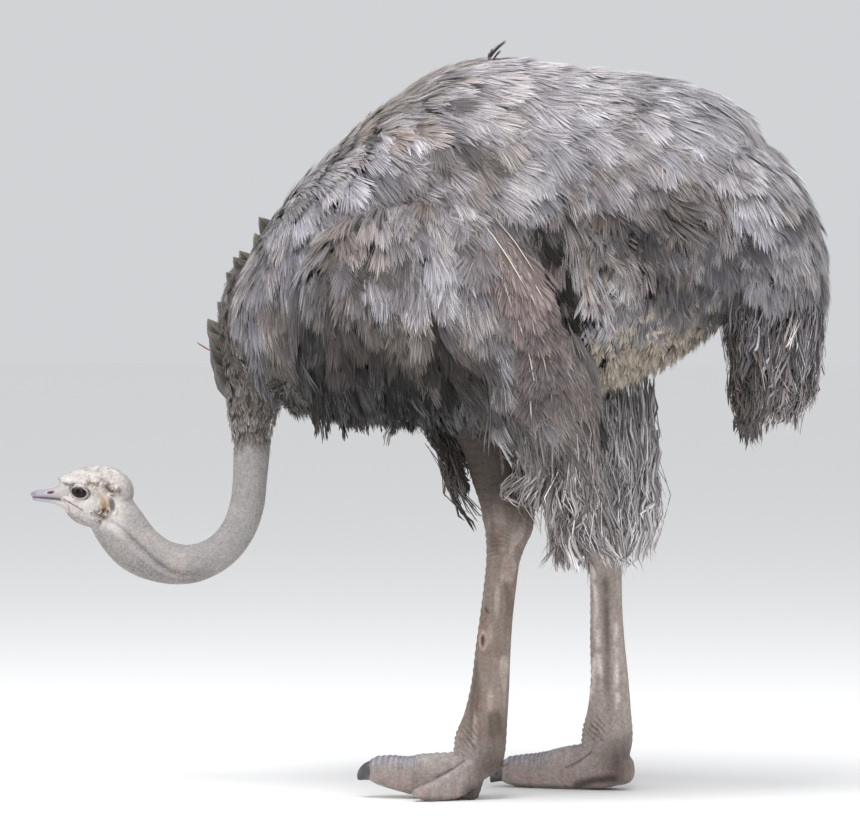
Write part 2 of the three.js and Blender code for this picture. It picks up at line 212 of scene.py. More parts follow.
def loft(shape, first=0.0, last=None, rings=40, sides=40, grow=0.0):
    """A closed surface over a form: its points, and its faces as lists of point numbers."""
    last = len(shape["rows"]) - 1 if last is None else last
    at, turn = np.meshgrid(
        np.linspace(first, last, rings),
        np.linspace(0, 2 * np.pi, sides, endpoint=False),
        indexing="ij",
    )
    points = surface(shape, at, turn, grow(at) if callable(grow) else grow).reshape(-1, 3)
    faces = ring_faces(rings, sides).tolist()
    k = np.arange(sides)
    top = (rings - 1) * sides
    hub = rings * sides
    faces += np.stack([np.full(sides, hub), (k + 1) % sides, k], 1).tolist()
    faces += np.stack([np.full(sides, hub + 1), top + k, top + (k + 1) % sides], 1).tolist()
    points = np.vstack([points, points[:sides].mean(0), points[-sides:].mean(0)])
    corners = points[[face[:3] for face in faces]] - points.mean(0)
    volume = np.einsum("ij,ij->", corners[:, 0], np.cross(corners[:, 1], corners[:, 2]))
    return points, (faces if volume > 0 else [face[::-1] for face in faces])


def make(name, *lofts):
    """An object whose mesh holds these closed surfaces."""
    points = []
    faces = []
    made = 0
    for places, rounds in lofts:
        faces += [[corner + made for corner in face] for face in rounds]
        points.append(places)
        made += len(places)
    mesh = bpy.data.meshes.new(name)
    mesh.from_pydata((np.vstack(points) * MM + ORIGIN).tolist(), [], faces)
    mesh.shade_smooth()
    return add_object(name, mesh)


def settle(obj):
    """Applies an object's modifiers to its mesh."""
    mesh = bpy.data.meshes.new_from_object(
        obj.evaluated_get(bpy.context.evaluated_depsgraph_get())
    )
    obj.modifiers.clear()
    worn = obj.data
    obj.data = mesh
    mesh.name = obj.name
    bpy.data.meshes.remove(worn)


def stretch_skin(obj, grain, rounds):
    """Makes overlapping forms one closed surface with this grain, and smooths it."""
    grid = obj.modifiers.new("one surface", "REMESH")
    grid.mode = "VOXEL"
    grid.voxel_size = grain * MM
    soft = obj.modifiers.new("smoothed", "SMOOTH")
    soft.factor = 0.5
    soft.iterations = rounds
    settle(obj)


def points_of(obj):
    """An object's points in the drawing's millimetres."""
    flat = np.empty(len(obj.data.vertices) * 3)
    obj.data.vertices.foreach_get("co", flat)
    return (flat.reshape(-1, 3) - ORIGIN) / MM


def normals_of(obj):
    """The normal at each of an object's points."""
    flat = np.empty(len(obj.data.vertices) * 3)
    obj.data.vertex_normals.foreach_get("vector", flat)
    return flat.reshape(-1, 3)


def set_points(obj, points):
    """Moves an object's points to these places."""
    obj.data.vertices.foreach_set("co", (points * MM + ORIGIN).ravel())
    obj.data.update()


TRUNK = form([
    slab(0, -362, 872, 810, 22),
    slab(0, -353, 914, 784, 66),
    slab(0, -330, 970, 757, 108),
    slab(0, -290, 1034, 727, 152),
    slab(0, -230, 1106, 704, 186),
    slab(0, -150, 1184, 690, 214),
    slab(0, -50, 1265, 684, 238),
    slab(0, 50, 1317, 686, 248),
    slab(0, 145, 1325, 697, 249),
    slab(0, 250, 1313, 722, 241),
    slab(0, 385, 1294, 764, 220),
    slab(0, 470, 1280, 812, 194),
    slab(0, 545, 1238, 872, 162),
    slab(0, 598, 1174, 940, 116),
    slab(0, 620, 1100, 1010, 54),
], upright=True, square=2.25)

WING_ROWS = [
    slab(150, -214, 905, 850, 36),
    slab(150, -196, 965, 785, 86),
    slab(156, -146, 1028, 730, 116),
    slab(162, -60, 1082, 708, 130),
    slab(164, 46, 1104, 690, 134),
    slab(162, 135, 1088, 662, 132),
    slab(158, 206, 1020, 640, 124),
    slab(152, 262, 925, 640, 108),
    slab(146, 306, 800, 668, 70),
    slab(146, 318, 760, 700, 30),
]
WINGS = {side: form(WING_ROWS, upright=True, square=2.2, lean=34, side=side) for side in (1, -1)}

TAIL = form([
    [0, 505, 1130, 150, 100, 110],
    [0, 558, 1068, 170, 108, 112],
    [0, 599, 1000, 174, 106, 108],
    [0, 618, 930, 168, 98, 98],
    [0, 620, 860, 154, 96, 96],
    [0, 623, 797, 136, 82, 78],
    [0, 622, 745, 110, 70, 66],
    [0, 612, 700, 72, 56, 52],
], square=2.2)

TRUNK_UNDER_COAT = -30
WING_UNDER_COAT = -30
TAIL_UNDER_COAT = -48
body = make(
    "skin",
    loft(TRUNK, grow=TRUNK_UNDER_COAT),
    *[loft(WINGS[side], grow=WING_UNDER_COAT) for side in (1, -1)],
    loft(TAIL, last=5.4, grow=TAIL_UNDER_COAT),
)
stretch_skin(body, grain=13, rounds=4)

# ---------------------------------------------------------------- neck and head
# The bare neck and head: thin skin over a tube of muscle, with the windpipe loose in front of
# it. The lids, the brow, the ear openings and the corners of the gape are folds of that skin.
NECK = form([
    [0, -262, 925, 116, 94, 98],
    [0, -292, 845, 96, 88, 99],
    [0, -319, 765, 69, 66, 70],
    [0, -323, 706, 54, 52, 52],
    [0, -327, 660, 42, 42, 43],
    [0, -328, 615, 33, 34, 34],
    [0, -331, 564, 30, 31, 31],
    [0, -337, 513, 30, 31, 31],
    [0, -356, 465, 29, 31, 31],
    [0, -391, 427, 30, 32, 32],
    [0, -441, 407, 31, 35, 35],
    [0, -494, 412, 32, 40, 39],
    [0, -540, 436, 33, 47, 46],
    [0, -573, 474, 34, 48, 48],
    [0, -592, 506, 34, 45, 45],
])
HEAD = form([
    slab(0, -683, 555, 522, 17),
    slab(0, -676, 564, 505, 24),
    slab(0, -661, 573, 486, 29),
    slab(0, -640, 580, 475, 33.5),
    slab(0, -613, 584, 471, 34.5),
    slab(0, -590, 581, 476, 33),
    slab(0, -570, 572, 490, 29.5),
    slab(0, -556, 559, 510, 23),
    slab(0, -549, 546, 527, 12),
], upright=True, square=2.2)

EYE_RADIUS = 17.0
EYE_OPENING = (13.0, 7.6, 9.8)
LID = 1.3


def under_neck_coat(at):
    """How far the skin lies inside the neck's outline: deep where feathers cover it."""
    return np.interp(at, [0, 2, 4.4, 5.2], [-32, -14, -9, 0])


head = make(
    "head",
    loft(NECK, first=0.2, last=14, rings=170, sides=64, grow=under_neck_coat),
    loft(HEAD, rings=60, sides=64),
)
stretch_skin(head, grain=1.5, rounds=10)

# The mesh is made twice as fine round each eye, where the lids need it.
fine = bmesh.new()
fine.from_mesh(head.data)
near_eye = []
for edge in fine.edges:
    middle = (np.array((edge.verts[0].co + edge.verts[1].co) / 2) - ORIGIN) / MM
    if abs(middle[0]) > 18 and math.hypot(middle[1] - EYE[1], middle[2] - EYE[2]) < 21:
        near_eye.append(edge)
bmesh.ops.subdivide_edges(fine, edges=near_eye, cuts=1, use_grid_fill=True)
fine.to_mesh(head.data)
fine.free()


def crease(y, z, path, width):
    """1 on a line through these (back, up) points, falling to 0 over its width."""
    best = np.full(len(y), 1e9)
    for (y0, z0), (y1, z1) in zip(path[:-1], path[1:]):
        run = np.array([y1 - y0, z1 - z0], float)
        along = np.clip(((y - y0) * run[0] + (z - z0) * run[1]) / (run @ run), 0, 1)
        best = np.minimum(best, np.hypot(y - y0 - along * run[0], z - z0 - along * run[1]))
    return np.exp(-((best / width) ** 2))


def blob(y, z, centre, size, tilt=0.0):
    """1 at the centre of an ellipse of this size, falling to 0 outside it."""
    dy = y - centre[0]
    dz = z - centre[1]
    along = dy * math.cos(tilt) + dz * math.sin(tilt)
    over = -dy * math.sin(tilt) + dz * math.cos(tilt)
    return np.exp(-((along / size[0]) ** 2) - (over / size[1]) ** 2)


def step(low, high, value):
    """A smooth rise from 0 at `low` to 1 at `high`."""
    share = np.clip((value - low) / (high - low), 0, 1)
    return share * share * (3 - 2 * share)


# Lines on the side of the head and neck, by (back, up).
BROW = [(-676, 562), (-664, 556), (-650, 557), (-634, 553), (-622, 545), (-612, 538)]
GAPE = [(-672, 523), (-660, 518), (-651, 513), (-643, 509), (-635, 504)]
WINDPIPE = [
    (-588, 486), (-569, 475), (-553, 462), (-535, 445), (-510, 421),
    (-488, 403), (-467, 392), (-442, 386), (-417, 387), (-398, 394),
]
CHEEK_FOLD = [(-640, 501), (-628, 494), (-618, 484), (-613, 470)]
EAR = (-580, 515)


def ring_of(y, z):
    """How far points lie from the eye's middle: 1 on the lids' edge, flat above and deep below."""
    half, above, below = EYE_OPENING
    dz = z - EYE[2] + 0.16 * (y - EYE[1]) - 1.0
    return np.hypot((y - EYE[1]) / half, dz / np.where(dz > 0, above, below))


def ear_ring_of(y, z):
    """How far points lie from the middle of the ear's opening: 1 on its edge."""
    return np.hypot((y - EAR[0] + 0.2 * (z - EAR[1])) / 5.2, (z - EAR[1]) / 12.5)


places = points_of(head)
normals = normals_of(head)
x, y, z = places.T
side_face = step(8, 20, np.abs(x)) * step(0.1, 0.5, np.abs(normals[:, 0]))
on_head = step(-548, -560, y) * side_face
lift = np.zeros(len(x))
eye_ring = ring_of(y, z)
lift -= 2.2 * np.exp(-((eye_ring - 1.75) / 0.34) ** 2) * on_head
lift += 1.2 * crease(y, z, BROW, 6) * on_head
lift -= 1.6 * crease(y, z, [(-664, 548), (-668, 538), (-664, 528)], 5) * on_head
lift -= 1.5 * crease(y, z, GAPE, 1.7) * on_head
lift += 1.0 * crease(y, z, [(a, b - 4) for a, b in GAPE], 2.6) * on_head
lift -= 1.0 * crease(y, z, CHEEK_FOLD, 2.4) * on_head
lift -= 1.0 * crease(y, z, [(-657, 492), (-642, 487), (-630, 480)], 1.8) * on_head
ear_ring = ear_ring_of(y, z)
lift += 1.6 * np.exp(-((ear_ring - 1.35) / 0.3) ** 2) * on_head
lift -= 2.4 * step(1.15, 0.35, ear_ring) * on_head
down_neck = step(-600, -580, y) * step(-398, -440, y) * step(0.05, 0.4, np.abs(normals[:, 0]))
lift -= 4.2 * crease(y, z, WINDPIPE, 5) * down_neck
lift += 1.3 * crease(y, z, [(a - 8, b - 9) for a, b in WINDPIPE], 7) * down_neck
places += normals * lift[:, None]
places[:, 1] -= 7.0 * blob(y, z, (-675, 561), (8, 6.5)) * step(0, 0.5, 0.4 - normals[:, 1])

# The lids lie on the eyeball: the skin inside their edge sinks behind it.
x = places[:, 0]
spread = np.hypot(places[:, 1] - EYE[1], places[:, 2] - EYE[2])
eye_ring = ring_of(places[:, 1], places[:, 2])
ball = EYE[0] + np.sqrt(np.maximum(EYE_RADIUS ** 2 - spread ** 2, 1))
lid = ball + LID * np.sqrt(np.clip(1 - ((eye_ring - 1.17) / 0.2) ** 2, 0, 1)) + 0.2
hollow = ball - 7 * step(1.0, 0.82, eye_ring)
target = np.where(eye_ring < 1, np.minimum(lid, hollow), lid)
share = step(1.75, 1.32, eye_ring) * (np.abs(x) > 14)
out = np.abs(x) * (1 - share) + target * share
over_ball = (eye_ring > 1) & (spread < EYE_RADIUS - 0.5) & (np.abs(x) > 14)
out = np.where(over_ball, np.maximum(out, ball + 0.6), out)
share = np.maximum(share, over_ball)
places[:, 0] = np.where(share > 0, np.sign(x) * out, x)
set_points(head, places)

# ---------------------------------------------------------------- legs and feet
# Bare, scaly legs: a muscled thigh, a wrinkled ankle, a long straight shank and a foot of two
# toes, the long one with horny plates across its top.
HIP = 112
STANCE = 100
STRIDE = 200
HIP_STRIDE = 145
ANKLE_UP = 490
FOOT_UP = 100
LEG_ROWS = [
    [HIP, 92, 800, 84, 96, 92],
    [HIP, 110, 733, 72, 82, 80],
    [HIP - 2, 136, 636, 50, 61, 60],
    [HIP - 4, 149, 582, 43, 56, 56],
    [HIP - 6, 158, 530, 38, 50, 49],
    [HIP - 7, 160, 490, 35, 45, 45],
    [HIP - 8, 155, 458, 30, 36, 36],
    [HIP - 9, 150, 425, 26, 30, 30],
    [HIP - 9, 145, 382, 23, 29, 29],
    [HIP - 10, 138, 325, 22, 29.5, 29.5],
    [HIP - 11, 132, 265, 23, 31.5, 32],
    [HIP - 11, 127, 200, 24, 34, 35],
    [HIP - 12, 119, 145, 28, 39, 40],
    [STANCE, 110, 98, 33, 45, 48],
    [STANCE, 106, 50, 32, 40, 42],
]
FOOT_BACK = {1: 108, -1: 108 + STRIDE}
TOE_OUT = 0.1
TOE_LIFT = {1: 26, -1: 4}
LONG_TOE_ROWS = [
    slab(0, 50, 50, 28, 11),
    slab(0, 43, 60, 14, 22),
    slab(0, 22, 74, -1, 31),
    slab(0, -10, 83, -7, 34),
    slab(0, -50, 80, -7, 32),
    slab(0, -88, 72, -7, 30),
    slab(0, -122, 61, -7, 29),
    slab(0, -154, 56, -4, 28),
    slab(0, -182, 50, 1, 24),
    slab(0, -196, 38, 6, 15),
]
SHORT_TOE_ROWS = [
    [16, 6, 48, 19, 38, 56],
    [30, -30, 33, 20, 30, 41],
    [43, -60, 21, 19, 21, 28],
    [54, -88, 15, 16, 15, 20],
    [60, -104, 12, 11, 11, 14],
    [62, -111, 11, 4, 5, 6],
]

# How high the soles stand off the ground along each foot, and where the feet fold, by (back, up).
SOLE_RISE = {
    1: ((-46, -40, -14, -2, 6), (62, 56, 38, 32, 0)),
    -1: ((-50, -38, -11, 20, 60), (17, 12, 6, 3, 0)),
}
SHORT_TOE_RISE = ((-20, 5, 19, 37, 69, 90, 112), (40, 22, 11, 3, 0, 4, 15))
FAR_FOOT_HOLLOW = [(258, 8), (288, 17), (322, 20)]
PLATE_PITCH = ((40, 110, 150, 200), (4.5, 5.5, 9.5, 12))
FOOT_FOLDS = [
    [(72, 128), (90, 112), (104, 92)],
    [(80, 138), (98, 122), (110, 108)],
    [(84, 70), (60, 52), (36, 40)],
]


def leg_form(side):
    """A leg; below its ankle the right one slants back evenly."""
    rows = np.array(LEG_ROWS, float)
    if side < 0:
        share = np.clip((ANKLE_UP - rows[:, 2]) / (ANKLE_UP - FOOT_UP), 0, 1)
        rows[:, 1] += HIP_STRIDE + (STRIDE - HIP_STRIDE) * share
    return form(rows, side=side)


def foot_form(stations, side, square, lifted):
    """A toe or claw laid at its foot, turned a little outwards; a lifted one rises to its tip."""
    rows = np.array(stations, float)
    if lifted:
        rows[:, 2] += TOE_LIFT[side] * np.maximum(0, (-40 - rows[:, 1]) / 155)
    rows[:, 0] += STANCE - math.sin(TOE_OUT) * rows[:, 1]
    rows[:, 1] += FOOT_BACK[side]
    return form(rows, upright=True, square=square, side=side)


LEGS = {side: leg_form(side) for side in (1, -1)}


def toe_frame(places, side):
    """How far points lie along the long toe, from its joint to its tip, and across it."""
    along = FOOT_BACK[side] - places[:, 1]
    across = places[:, 0] * side - STANCE - math.sin(TOE_OUT) * along
    return along, across


def plates_passed(along):
    """How many horny plates lie between the long toe's joint and these points."""
    grid = np.arange(0, 400, 0.5)
    return np.interp(along, grid, np.cumsum(0.5 / np.interp(grid, *PLATE_PITCH)))


LATTICE = 8191
SPREAD = [73856093, 19349663, 83492791]


def noise(points, size, seed):
    """Smooth noise from -1 to 1, with patches about this many millimetres across."""
    lattice = np.random.default_rng(seed).uniform(-1, 1, LATTICE)
    low = np.floor(points / size).astype(np.int64)
    share = points / size - low
    share = share * share * (3 - 2 * share)
    total = np.zeros(len(points))
    for corner in np.ndindex(2, 2, 2):
        key = ((low + corner) * SPREAD).sum(1) % LATTICE
        total += lattice[key] * np.prod(np.where(corner, share, 1 - share), axis=1)
    return total


legs = []
for side in (1, -1):
    leg = make(
        "leg",
        loft(LEGS[side], first=0.5, rings=90, sides=48),
        loft(foot_form(LONG_TOE_ROWS, side, 2.5, True), rings=50, sides=40),
        loft(foot_form(SHORT_TOE_ROWS, side, 2.3, False), rings=30, sides=32),
    )
    stretch_skin(leg, grain=2.3, rounds=8)
    places = points_of(leg)
    normals = normals_of(leg)
    x, y, z = places.T
    along, across = toe_frame(places, side)
    rows = LEGS[side]["rows"]
    centre = smooth_rows(rows, np.interp(-z, -rows[:, 2], np.arange(len(rows))))
    front = np.clip((centre[:, 1] - y) / 40, -1, 1)
    lift = np.zeros(len(x))
    # Wrinkles that arch over the ankle, and folds where the shank meets the foot.
    arch = z + 0.012 * (y - centre[:, 1] + 10) ** 2
    lift += 0.5 * noise(places, 9, 48) * np.sin(arch / 1.2) * step(420, 446, z) * step(560, 500, z)
    lift += 0.6 * noise(places * [1, 1, 3], 12, 49) * step(400, 440, z) * step(640, 560, z)
    fold = z - 0.75 * (centre[:, 1] - y)
    ahead = step(0.15, 0.75, front)
    lift += 1.2 * np.sin(fold / 1.6) * step(72, 84, z) * step(135, 108, z) * ahead
    lift += 0.4 * np.sin(fold / 2.1) * step(80, 92, z) * step(150, 120, z)
    # Plates across the top of each toe: broad ones by the claw and fine ones behind them.
    lane = np.exp(-((across / 25) ** 2)) * step(0.0, 0.5, normals[:, 2]) * step(40, 60, along)
    plate = np.abs(np.sin(np.pi * plates_passed(along)))
    lift += (0.6 + 0.1 * np.interp(along, *PLATE_PITCH)) * plate * lane
    bent = np.clip((x * side - STANCE - 18) / 45, 0, 1)
    short = step(0, 0.15, bent) * step(24, 16, z - 8) * step(0.3, 0.7, normals[:, 2])
    lift += 0.6 * np.sin(along / 0.75) * short
    # Folds where the toes part, the roll in front of the shank, and the pad under the heel.
    outer = step(0.1, 0.5, np.abs(normals[:, 0]))
    own_y = y - (FOOT_BACK[side] - FOOT_BACK[1])
    for path in FOOT_FOLDS:
        lift -= 1.8 * crease(own_y, z, path, 2.6) * outer
    bunched = np.sin((y + z) / 1.9 + 1.4 * noise(places, 14, 50)) * outer
    lift += 0.9 * bunched * blob(own_y, z, (92, 112), (17, 26), -0.6)
    lift += 2.5 * blob(own_y, z, (72, 84), (9, 7), 0.8) * step(-0.2, 0.3, front)
    split = crease(along, across, [(20, 14), (62, 18)], 4) * (z < 80)
    lift -= 2.4 * split * step(0.1, 0.6, normals[:, 2])
    if side < 0:
        lift -= 8.0 * crease(y, z, FAR_FOOT_HOLLOW, 8) * step(0.1, 0.5, normals[:, 0])
    lift += 1.1 * noise(places, 26, 45) * step(120, 60, z)
    lift += 0.5 * noise(places, 9, 46) * step(130, 70, z)
    rolls = np.sin(z / 2.4 + 0.8 * noise(places, 30, 47)) * step(150, 180, z)
    lift += 0.5 * rolls * step(0.3, 0.8, front)
    places += normals * lift[:, None]
    sole = np.interp(along, *SOLE_RISE[side])
    sole = np.where(bent > 0.25, np.maximum(sole, np.interp(along, *SHORT_TOE_RISE)), sole)
    sole = sole + 1.6 * noise(places, 15, 53) * (sole > 0.5)
    places[:, 2] = np.maximum(places[:, 2], sole)
    set_points(leg, places)
    legs.append(leg)

# ---------------------------------------------------------------- one skin
# The hide is drawn over the whole figure in one piece, so it has no seam. Bare parts are grey
# and pebbled; the parts under the plumage are dark.
for part in [head] + legs:
    join = body.modifiers.new("join", "BOOLEAN")
    join.operation = "UNION"
    join.solver = "MANIFOLD"
    join.object = part
settle(body)
for part in [head] + legs:
    bpy.data.objects.remove(part)


def coarsen(obj, chosen, kept):
    """Thins the mesh at the chosen points, until about this share of it is left there."""
    group = obj.vertex_groups.new(name="coarser")
    group.add(np.flatnonzero(chosen).tolist(), 1.0, "REPLACE")
    thin = obj.modifiers.new("coarser", "DECIMATE")
    thin.vertex_group = "coarser"
    thin.ratio = 1 - (1 - kept) * float(np.mean(chosen))
    settle(obj)
    obj.vertex_groups.clear()


# The mesh is coarse where feathers hide it, and a little coarser on the smooth bare neck.
SHOULDERS = -240
x, y, z = points_of(body).T
coarsen(body, (z > 665) & ((y < SHOULDERS) | (z > 705)), kept=0.18)
x, y, z = points_of(body).T
coarsen(body, (y < SHOULDERS) & (y > -530) & (z < 650), kept=0.7)
body.data.shade_smooth()


def tinted(base, code, share):
    """Colours moved towards an sRGB hex code by a share that may vary from point to point."""
    share = np.clip(share, 0, 1)[:, None]
    return base * (1 - share) + np.array(linear(code)[:3]) * share


def plain(code, count):
    """One sRGB colour for this many points."""
    return np.tile(linear(code)[:3], (count, 1))


def painted(colours, coats):
    """Colours under coats of paint, each an sRGB hex code and its share at each point."""
    for code, share in coats:
        colours = tinted(colours, code, share)
    return colours


def store_colours(obj, name, colours):
    """Stores a colour for each point of an object's mesh."""
    layer = obj.data.color_attributes.new(name, "FLOAT_COLOR", "POINT")
    rgba = np.ones((len(colours), 4))
    rgba[:, :3] = colours
    layer.data.foreach_set("color", rgba.ravel())


# The neck: grey, browner towards the body, with a darker throat, which is painted shade on its
# down-facing side, and painted shade in the groove by the windpipe.
places = points_of(body)
normals = normals_of(body)
x, y, z = places.T
on_neck = y < SHOULDERS
bare_neck = step(640, 618, z) * on_neck
throat = step(0.1, -0.6, normals[:, 2]) * step(-380, -430, y) * bare_neck
groove = crease(y, z, WINDPIPE, 6) * step(0.05, 0.4, np.abs(normals[:, 0])) * bare_neck
tint = painted(plain("5f5651", len(x)), [
    ("9a9695", bare_neck),
    ("a9a4a1", bare_neck * step(-500, -580, y)),
])
tint *= 0.92 + 0.08 * step(640, 560, z)[:, None] * on_neck[:, None]
tint = painted(tint, [
    ("8f8887", 0.75 * throat),
    ("b8aba3", 0.3 * bare_neck * step(0.1, 0.5, noise(places, 46, 3))),
    ("857d7a", 0.6 * groove),
])

# The head: paler, speckled brown over the crown, with grey lids, a pink gape and a tan tuft in
# front of the ear with brown marks round it.
in_head = step(-545, -575, y) * step(462, 486, z + 0.4 * (y + 600))
on_side = (np.abs(x) > 15) * in_head
speckle = step(-0.3, 0.8, noise(places, 8, 11) + 0.6 * noise(places, 2.8, 13)) * in_head
behind_eye = blob(y, z, (-611, 550), (17, 13), -0.4)
crown = np.clip(1.6 * behind_eye + 0.4 * step(540, 572, z), 0, 1)
eye_ring = ring_of(y, z)
lids = on_side * step(1.34, 1.26, eye_ring)
ear_ring = ear_ring_of(y, z)
mottle = step(-0.9, 0.5, noise(places, 7, 12) + 0.6 * noise(places, 2.6, 14)) * on_side
under_ear = np.clip(1.8 * blob(y, z, (-597, 500), (17, 9), 0.5), 0, 1)
over_ear = np.clip(1.6 * blob(y, z, (-577, 543), (22, 9), -0.45), 0, 1)
behind_jaw = np.clip(1.5 * blob(y, z, (-606, 484), (6, 10)), 0, 1)
tint = painted(tint, [
    ("c9c3c0", in_head),
    ("d2cdca", in_head * step(560, 574, z)),
    ("d6d0cb", in_head * blob(y, z, (-640, 508), (16, 9))),
    ("6e5949", 0.95 * speckle * crown),
    ("8b7a6a", 0.5 * in_head * blob(y, z, (-606, 533), (9, 9))),
    # Painted shade under the overhanging brow and in the dent in front of the eye.
    ("6d5f58", 0.8 * on_side * blob(y, z, (-664, 546), (7, 5), -0.5)),
    ("5d4f49", 0.8 * on_side * crease(y, z, [(-672, 553), (-660, 549), (-652, 552)], 2.2)),
    ("6f625e", 0.75 * on_side * np.exp(-((eye_ring - 1.42) / 0.09) ** 2)),
    ("a7a0a0", 0.9 * lids),
    ("c9c5c4", 0.7 * lids * step(542, 530, z)),
    ("2b211e", on_side * step(1.17, 1.06, eye_ring)),
    ("c3a9a8", 0.4 * on_side * crease(y, z, [(a, b - 3.4) for a, b in GAPE], 2.4)),
    ("6b4b4a", 0.9 * on_side * crease(y, z, GAPE, 1.3)),
    ("dcd2c8", 0.8 * on_side * np.exp(-((ear_ring - 1.5) / 0.4) ** 2)),
    ("b1936f", 0.9 * on_side * blob(y, z, (-592, 517), (9, 14))),
    ("7d7480", 0.95 * on_side * step(1.3, 0.6, ear_ring)),
    ("3a291d", 0.97 * mottle * under_ear),
    ("4b392c", 0.97 * mottle * over_ear),
    ("544030", 0.95 * mottle * behind_jaw),
])

# The legs: taupe with worn, paler and darker streaks down them, darkest on the thigh.
leg_skin = step(690, 660, z) * (y > -190)
near = (x > 60) * leg_skin
far = (x < -60) * leg_skin
foot = step(120, 90, z) * leg_skin
tint = painted(tint, [
    ("81756c", leg_skin),
    ("92857c", 0.7 * leg_skin * step(-0.2, 0.5, noise(places, 60, 21))),
    ("5e5149", 0.8 * leg_skin * step(0.1, 0.6, noise(places * [1, 1, 0.3], 20, 22))),
    ("ab9e96", 0.75 * leg_skin * step(0.2, 0.6, noise(places * [1, 1, 0.22], 13, 23))),
    ("8a6f68", 0.45 * leg_skin * step(0.1, 0.6, noise(places * [1, 1, 0.5], 11, 25))),
    ("372d28", 0.97 * leg_skin * step(440, 560, z)),
    # Painted light: the lower far shank is made paler against the shade it stands in.
    ("b7aba4", 0.6 * far * step(480, 400, z)),
    ("9c918c", 0.8 * foot),
    ("b3a9a8", 0.6 * foot * step(0.3, 0.8, normals[:, 2])),
    ("a58d88", 0.6 * foot * step(0.0, 0.5, noise(places, 18, 26)) * step(60, 30, z)),
    # Painted shade along the feet's lowest edge, by the floor.
    ("5a504a", 0.7 * foot * step(12, 3, z)),
])
for side in (1, -1):
    own_side = x * side > 0
    own_foot = foot * own_side
    own_y = y - (FOOT_BACK[side] - FOOT_BACK[1])
    bunched = np.sin((y + z) / 1.9 + 1.4 * noise(places, 14, 50))
    bunched = bunched * blob(own_y, z, (92, 112), (17, 26), -0.6)
    folds = np.max([crease(own_y, z, path, 2.0) for path in FOOT_FOLDS], axis=0)
    along, across = toe_frame(places, side)
    lane = np.exp(-((across / 26) ** 2)) * step(0.0, 0.5, normals[:, 2])
    lane = lane * step(55, 75, along) * own_foot
    plate_edge = np.abs(np.cos(np.pi * plates_passed(along))) ** 6
    # Painted shade in the troughs of the bunched skin and in the folds of the foot; a dark patch on
    # the heel.
    tint = painted(tint, [
        ("5b4e4d", 0.7 * np.clip(-1.3 * bunched, 0, 1) * leg_skin * own_side),
        ("544842", 0.9 * own_foot * blob(own_y, z, (130, 52), (28, 46))),
        ("53464a", 0.75 * folds * own_foot),
    ])
    if side < 0:
        # Painted shade in the hollow of the far foot, and fine dark wrinkles beside it.
        wrinkles = np.abs(np.sin((y + z) / 2.2)) * blob(y, z, (330, 22), (18, 14))
        tint = painted(tint, [
            ("3a322f", 0.85 * own_foot * crease(y, z, FAR_FOOT_HOLLOW, 8)),
            ("57494a", 0.6 * own_foot * wrinkles),
        ])
    tint = painted(tint, [
        ("72778c", 0.85 * lane * step(80, 130, along)),
        ("cbc5c3", 0.8 * lane * plate_edge),
    ])

# Marks of wear: a scab with a pale rim and two cracks on the near shank, and pale streaks beside a
# dark band on the far shank. Painted shade: a dark patch under the near heel, and the back of the
# near shank darker low down.
scab_ring = np.hypot((y - 117) / 7, (z - 284) / 15)
streak = crease(y, z, [(284, 400), (290, 317), (298, 215)], 6)
streak = streak + crease(y, z, [(286, 235), (280, 165)], 5)
streak = streak + 0.8 * crease(y, z, [(326, 300), (331, 150)], 4)
streak = streak * step(-0.6, 0.2, noise(places, 14, 24))
band = crease(y, z, [(308, 380), (314, 150)], 7) * step(-0.7, 0.3, noise(places, 22, 27))
tint = painted(tint, [
    # Painted shade under the near heel.
    ("3c3532", 0.85 * near * blob(y, z, (99, 15), (15, 15))),
    ("4d1c1d", 0.97 * near * np.clip(1.5 * blob(y, z, (116, 284), (2.6, 9)), 0, 1)),
    ("b9a39b", 0.7 * near * np.exp(-((scab_ring - 1) / 0.25) ** 2)),
    ("4f3a33", 0.9 * near * crease(y, z, [(121, 341), (127, 334)], 2.4)),
    ("64443e", 0.7 * near * crease(y, z, [(109, 186), (105, 150)], 1.6)),
    # Painted shade down the back of the near shank.
    ("5e5148", 0.45 * leg_skin * step(90, 130, y) * step(180, 90, z) * (x > 0)),
    ("dcd0cb", 0.9 * far * streak),
    ("5d514c", 0.75 * far * band),
])

# Fine unevenness everywhere, and dark wrinkles that arch over the ankles.
tint *= 1 + 0.06 * noise(places, 7, 31)[:, None] + 0.05 * noise(places, 2.6, 32)[:, None]
arch = z + 0.012 * (y - np.where(x > 0, 148, 290)) ** 2
wrinkled = np.sin(arch / 1.2 + 1.2 * noise(places, 14, 55)) * step(415, 440, z) * step(620, 560, z)
wrinkled = np.clip(wrinkled, 0, 1) * step(-0.6, 0.3, noise(places, 22, 56))
tint = tinted(tint, "4b403a", 0.5 * leg_skin * wrinkled)
scuffs = 0.16 * noise(places * [1, 1, 0.2], 6, 33) + 0.12 * noise(places, 2.8, 34)
tint *= 1 + (leg_skin * scuffs)[:, None]
store_colours(body, "Tint", tint)
rough = np.where(leg_skin > 0.5, 0.5, 0.5 + 0.5 * throat - 0.25 * in_head)
store_colours(body, "Grain", np.repeat(rough[:, None], 3, axis=1))


def colour_layer(tree, name):
    """The colours stored on the mesh under this name."""
    return add_node(tree, "ShaderNodeVertexColor", {"layer_name": name}).outputs["Color"]


def sums(tree, kind, operation, **links):
    """The result of one sum or product."""
    return add_node(tree, kind, {"operation": operation}, **links).outputs[0]


def speckles(tree, vector, size, detail, **more):
    """A cloudy pattern with patches of about this many millimetres."""
    return add_node(
        tree, "ShaderNodeTexNoise", Vector=vector, Scale=1 / (size * MM), Detail=detail, **more
    )


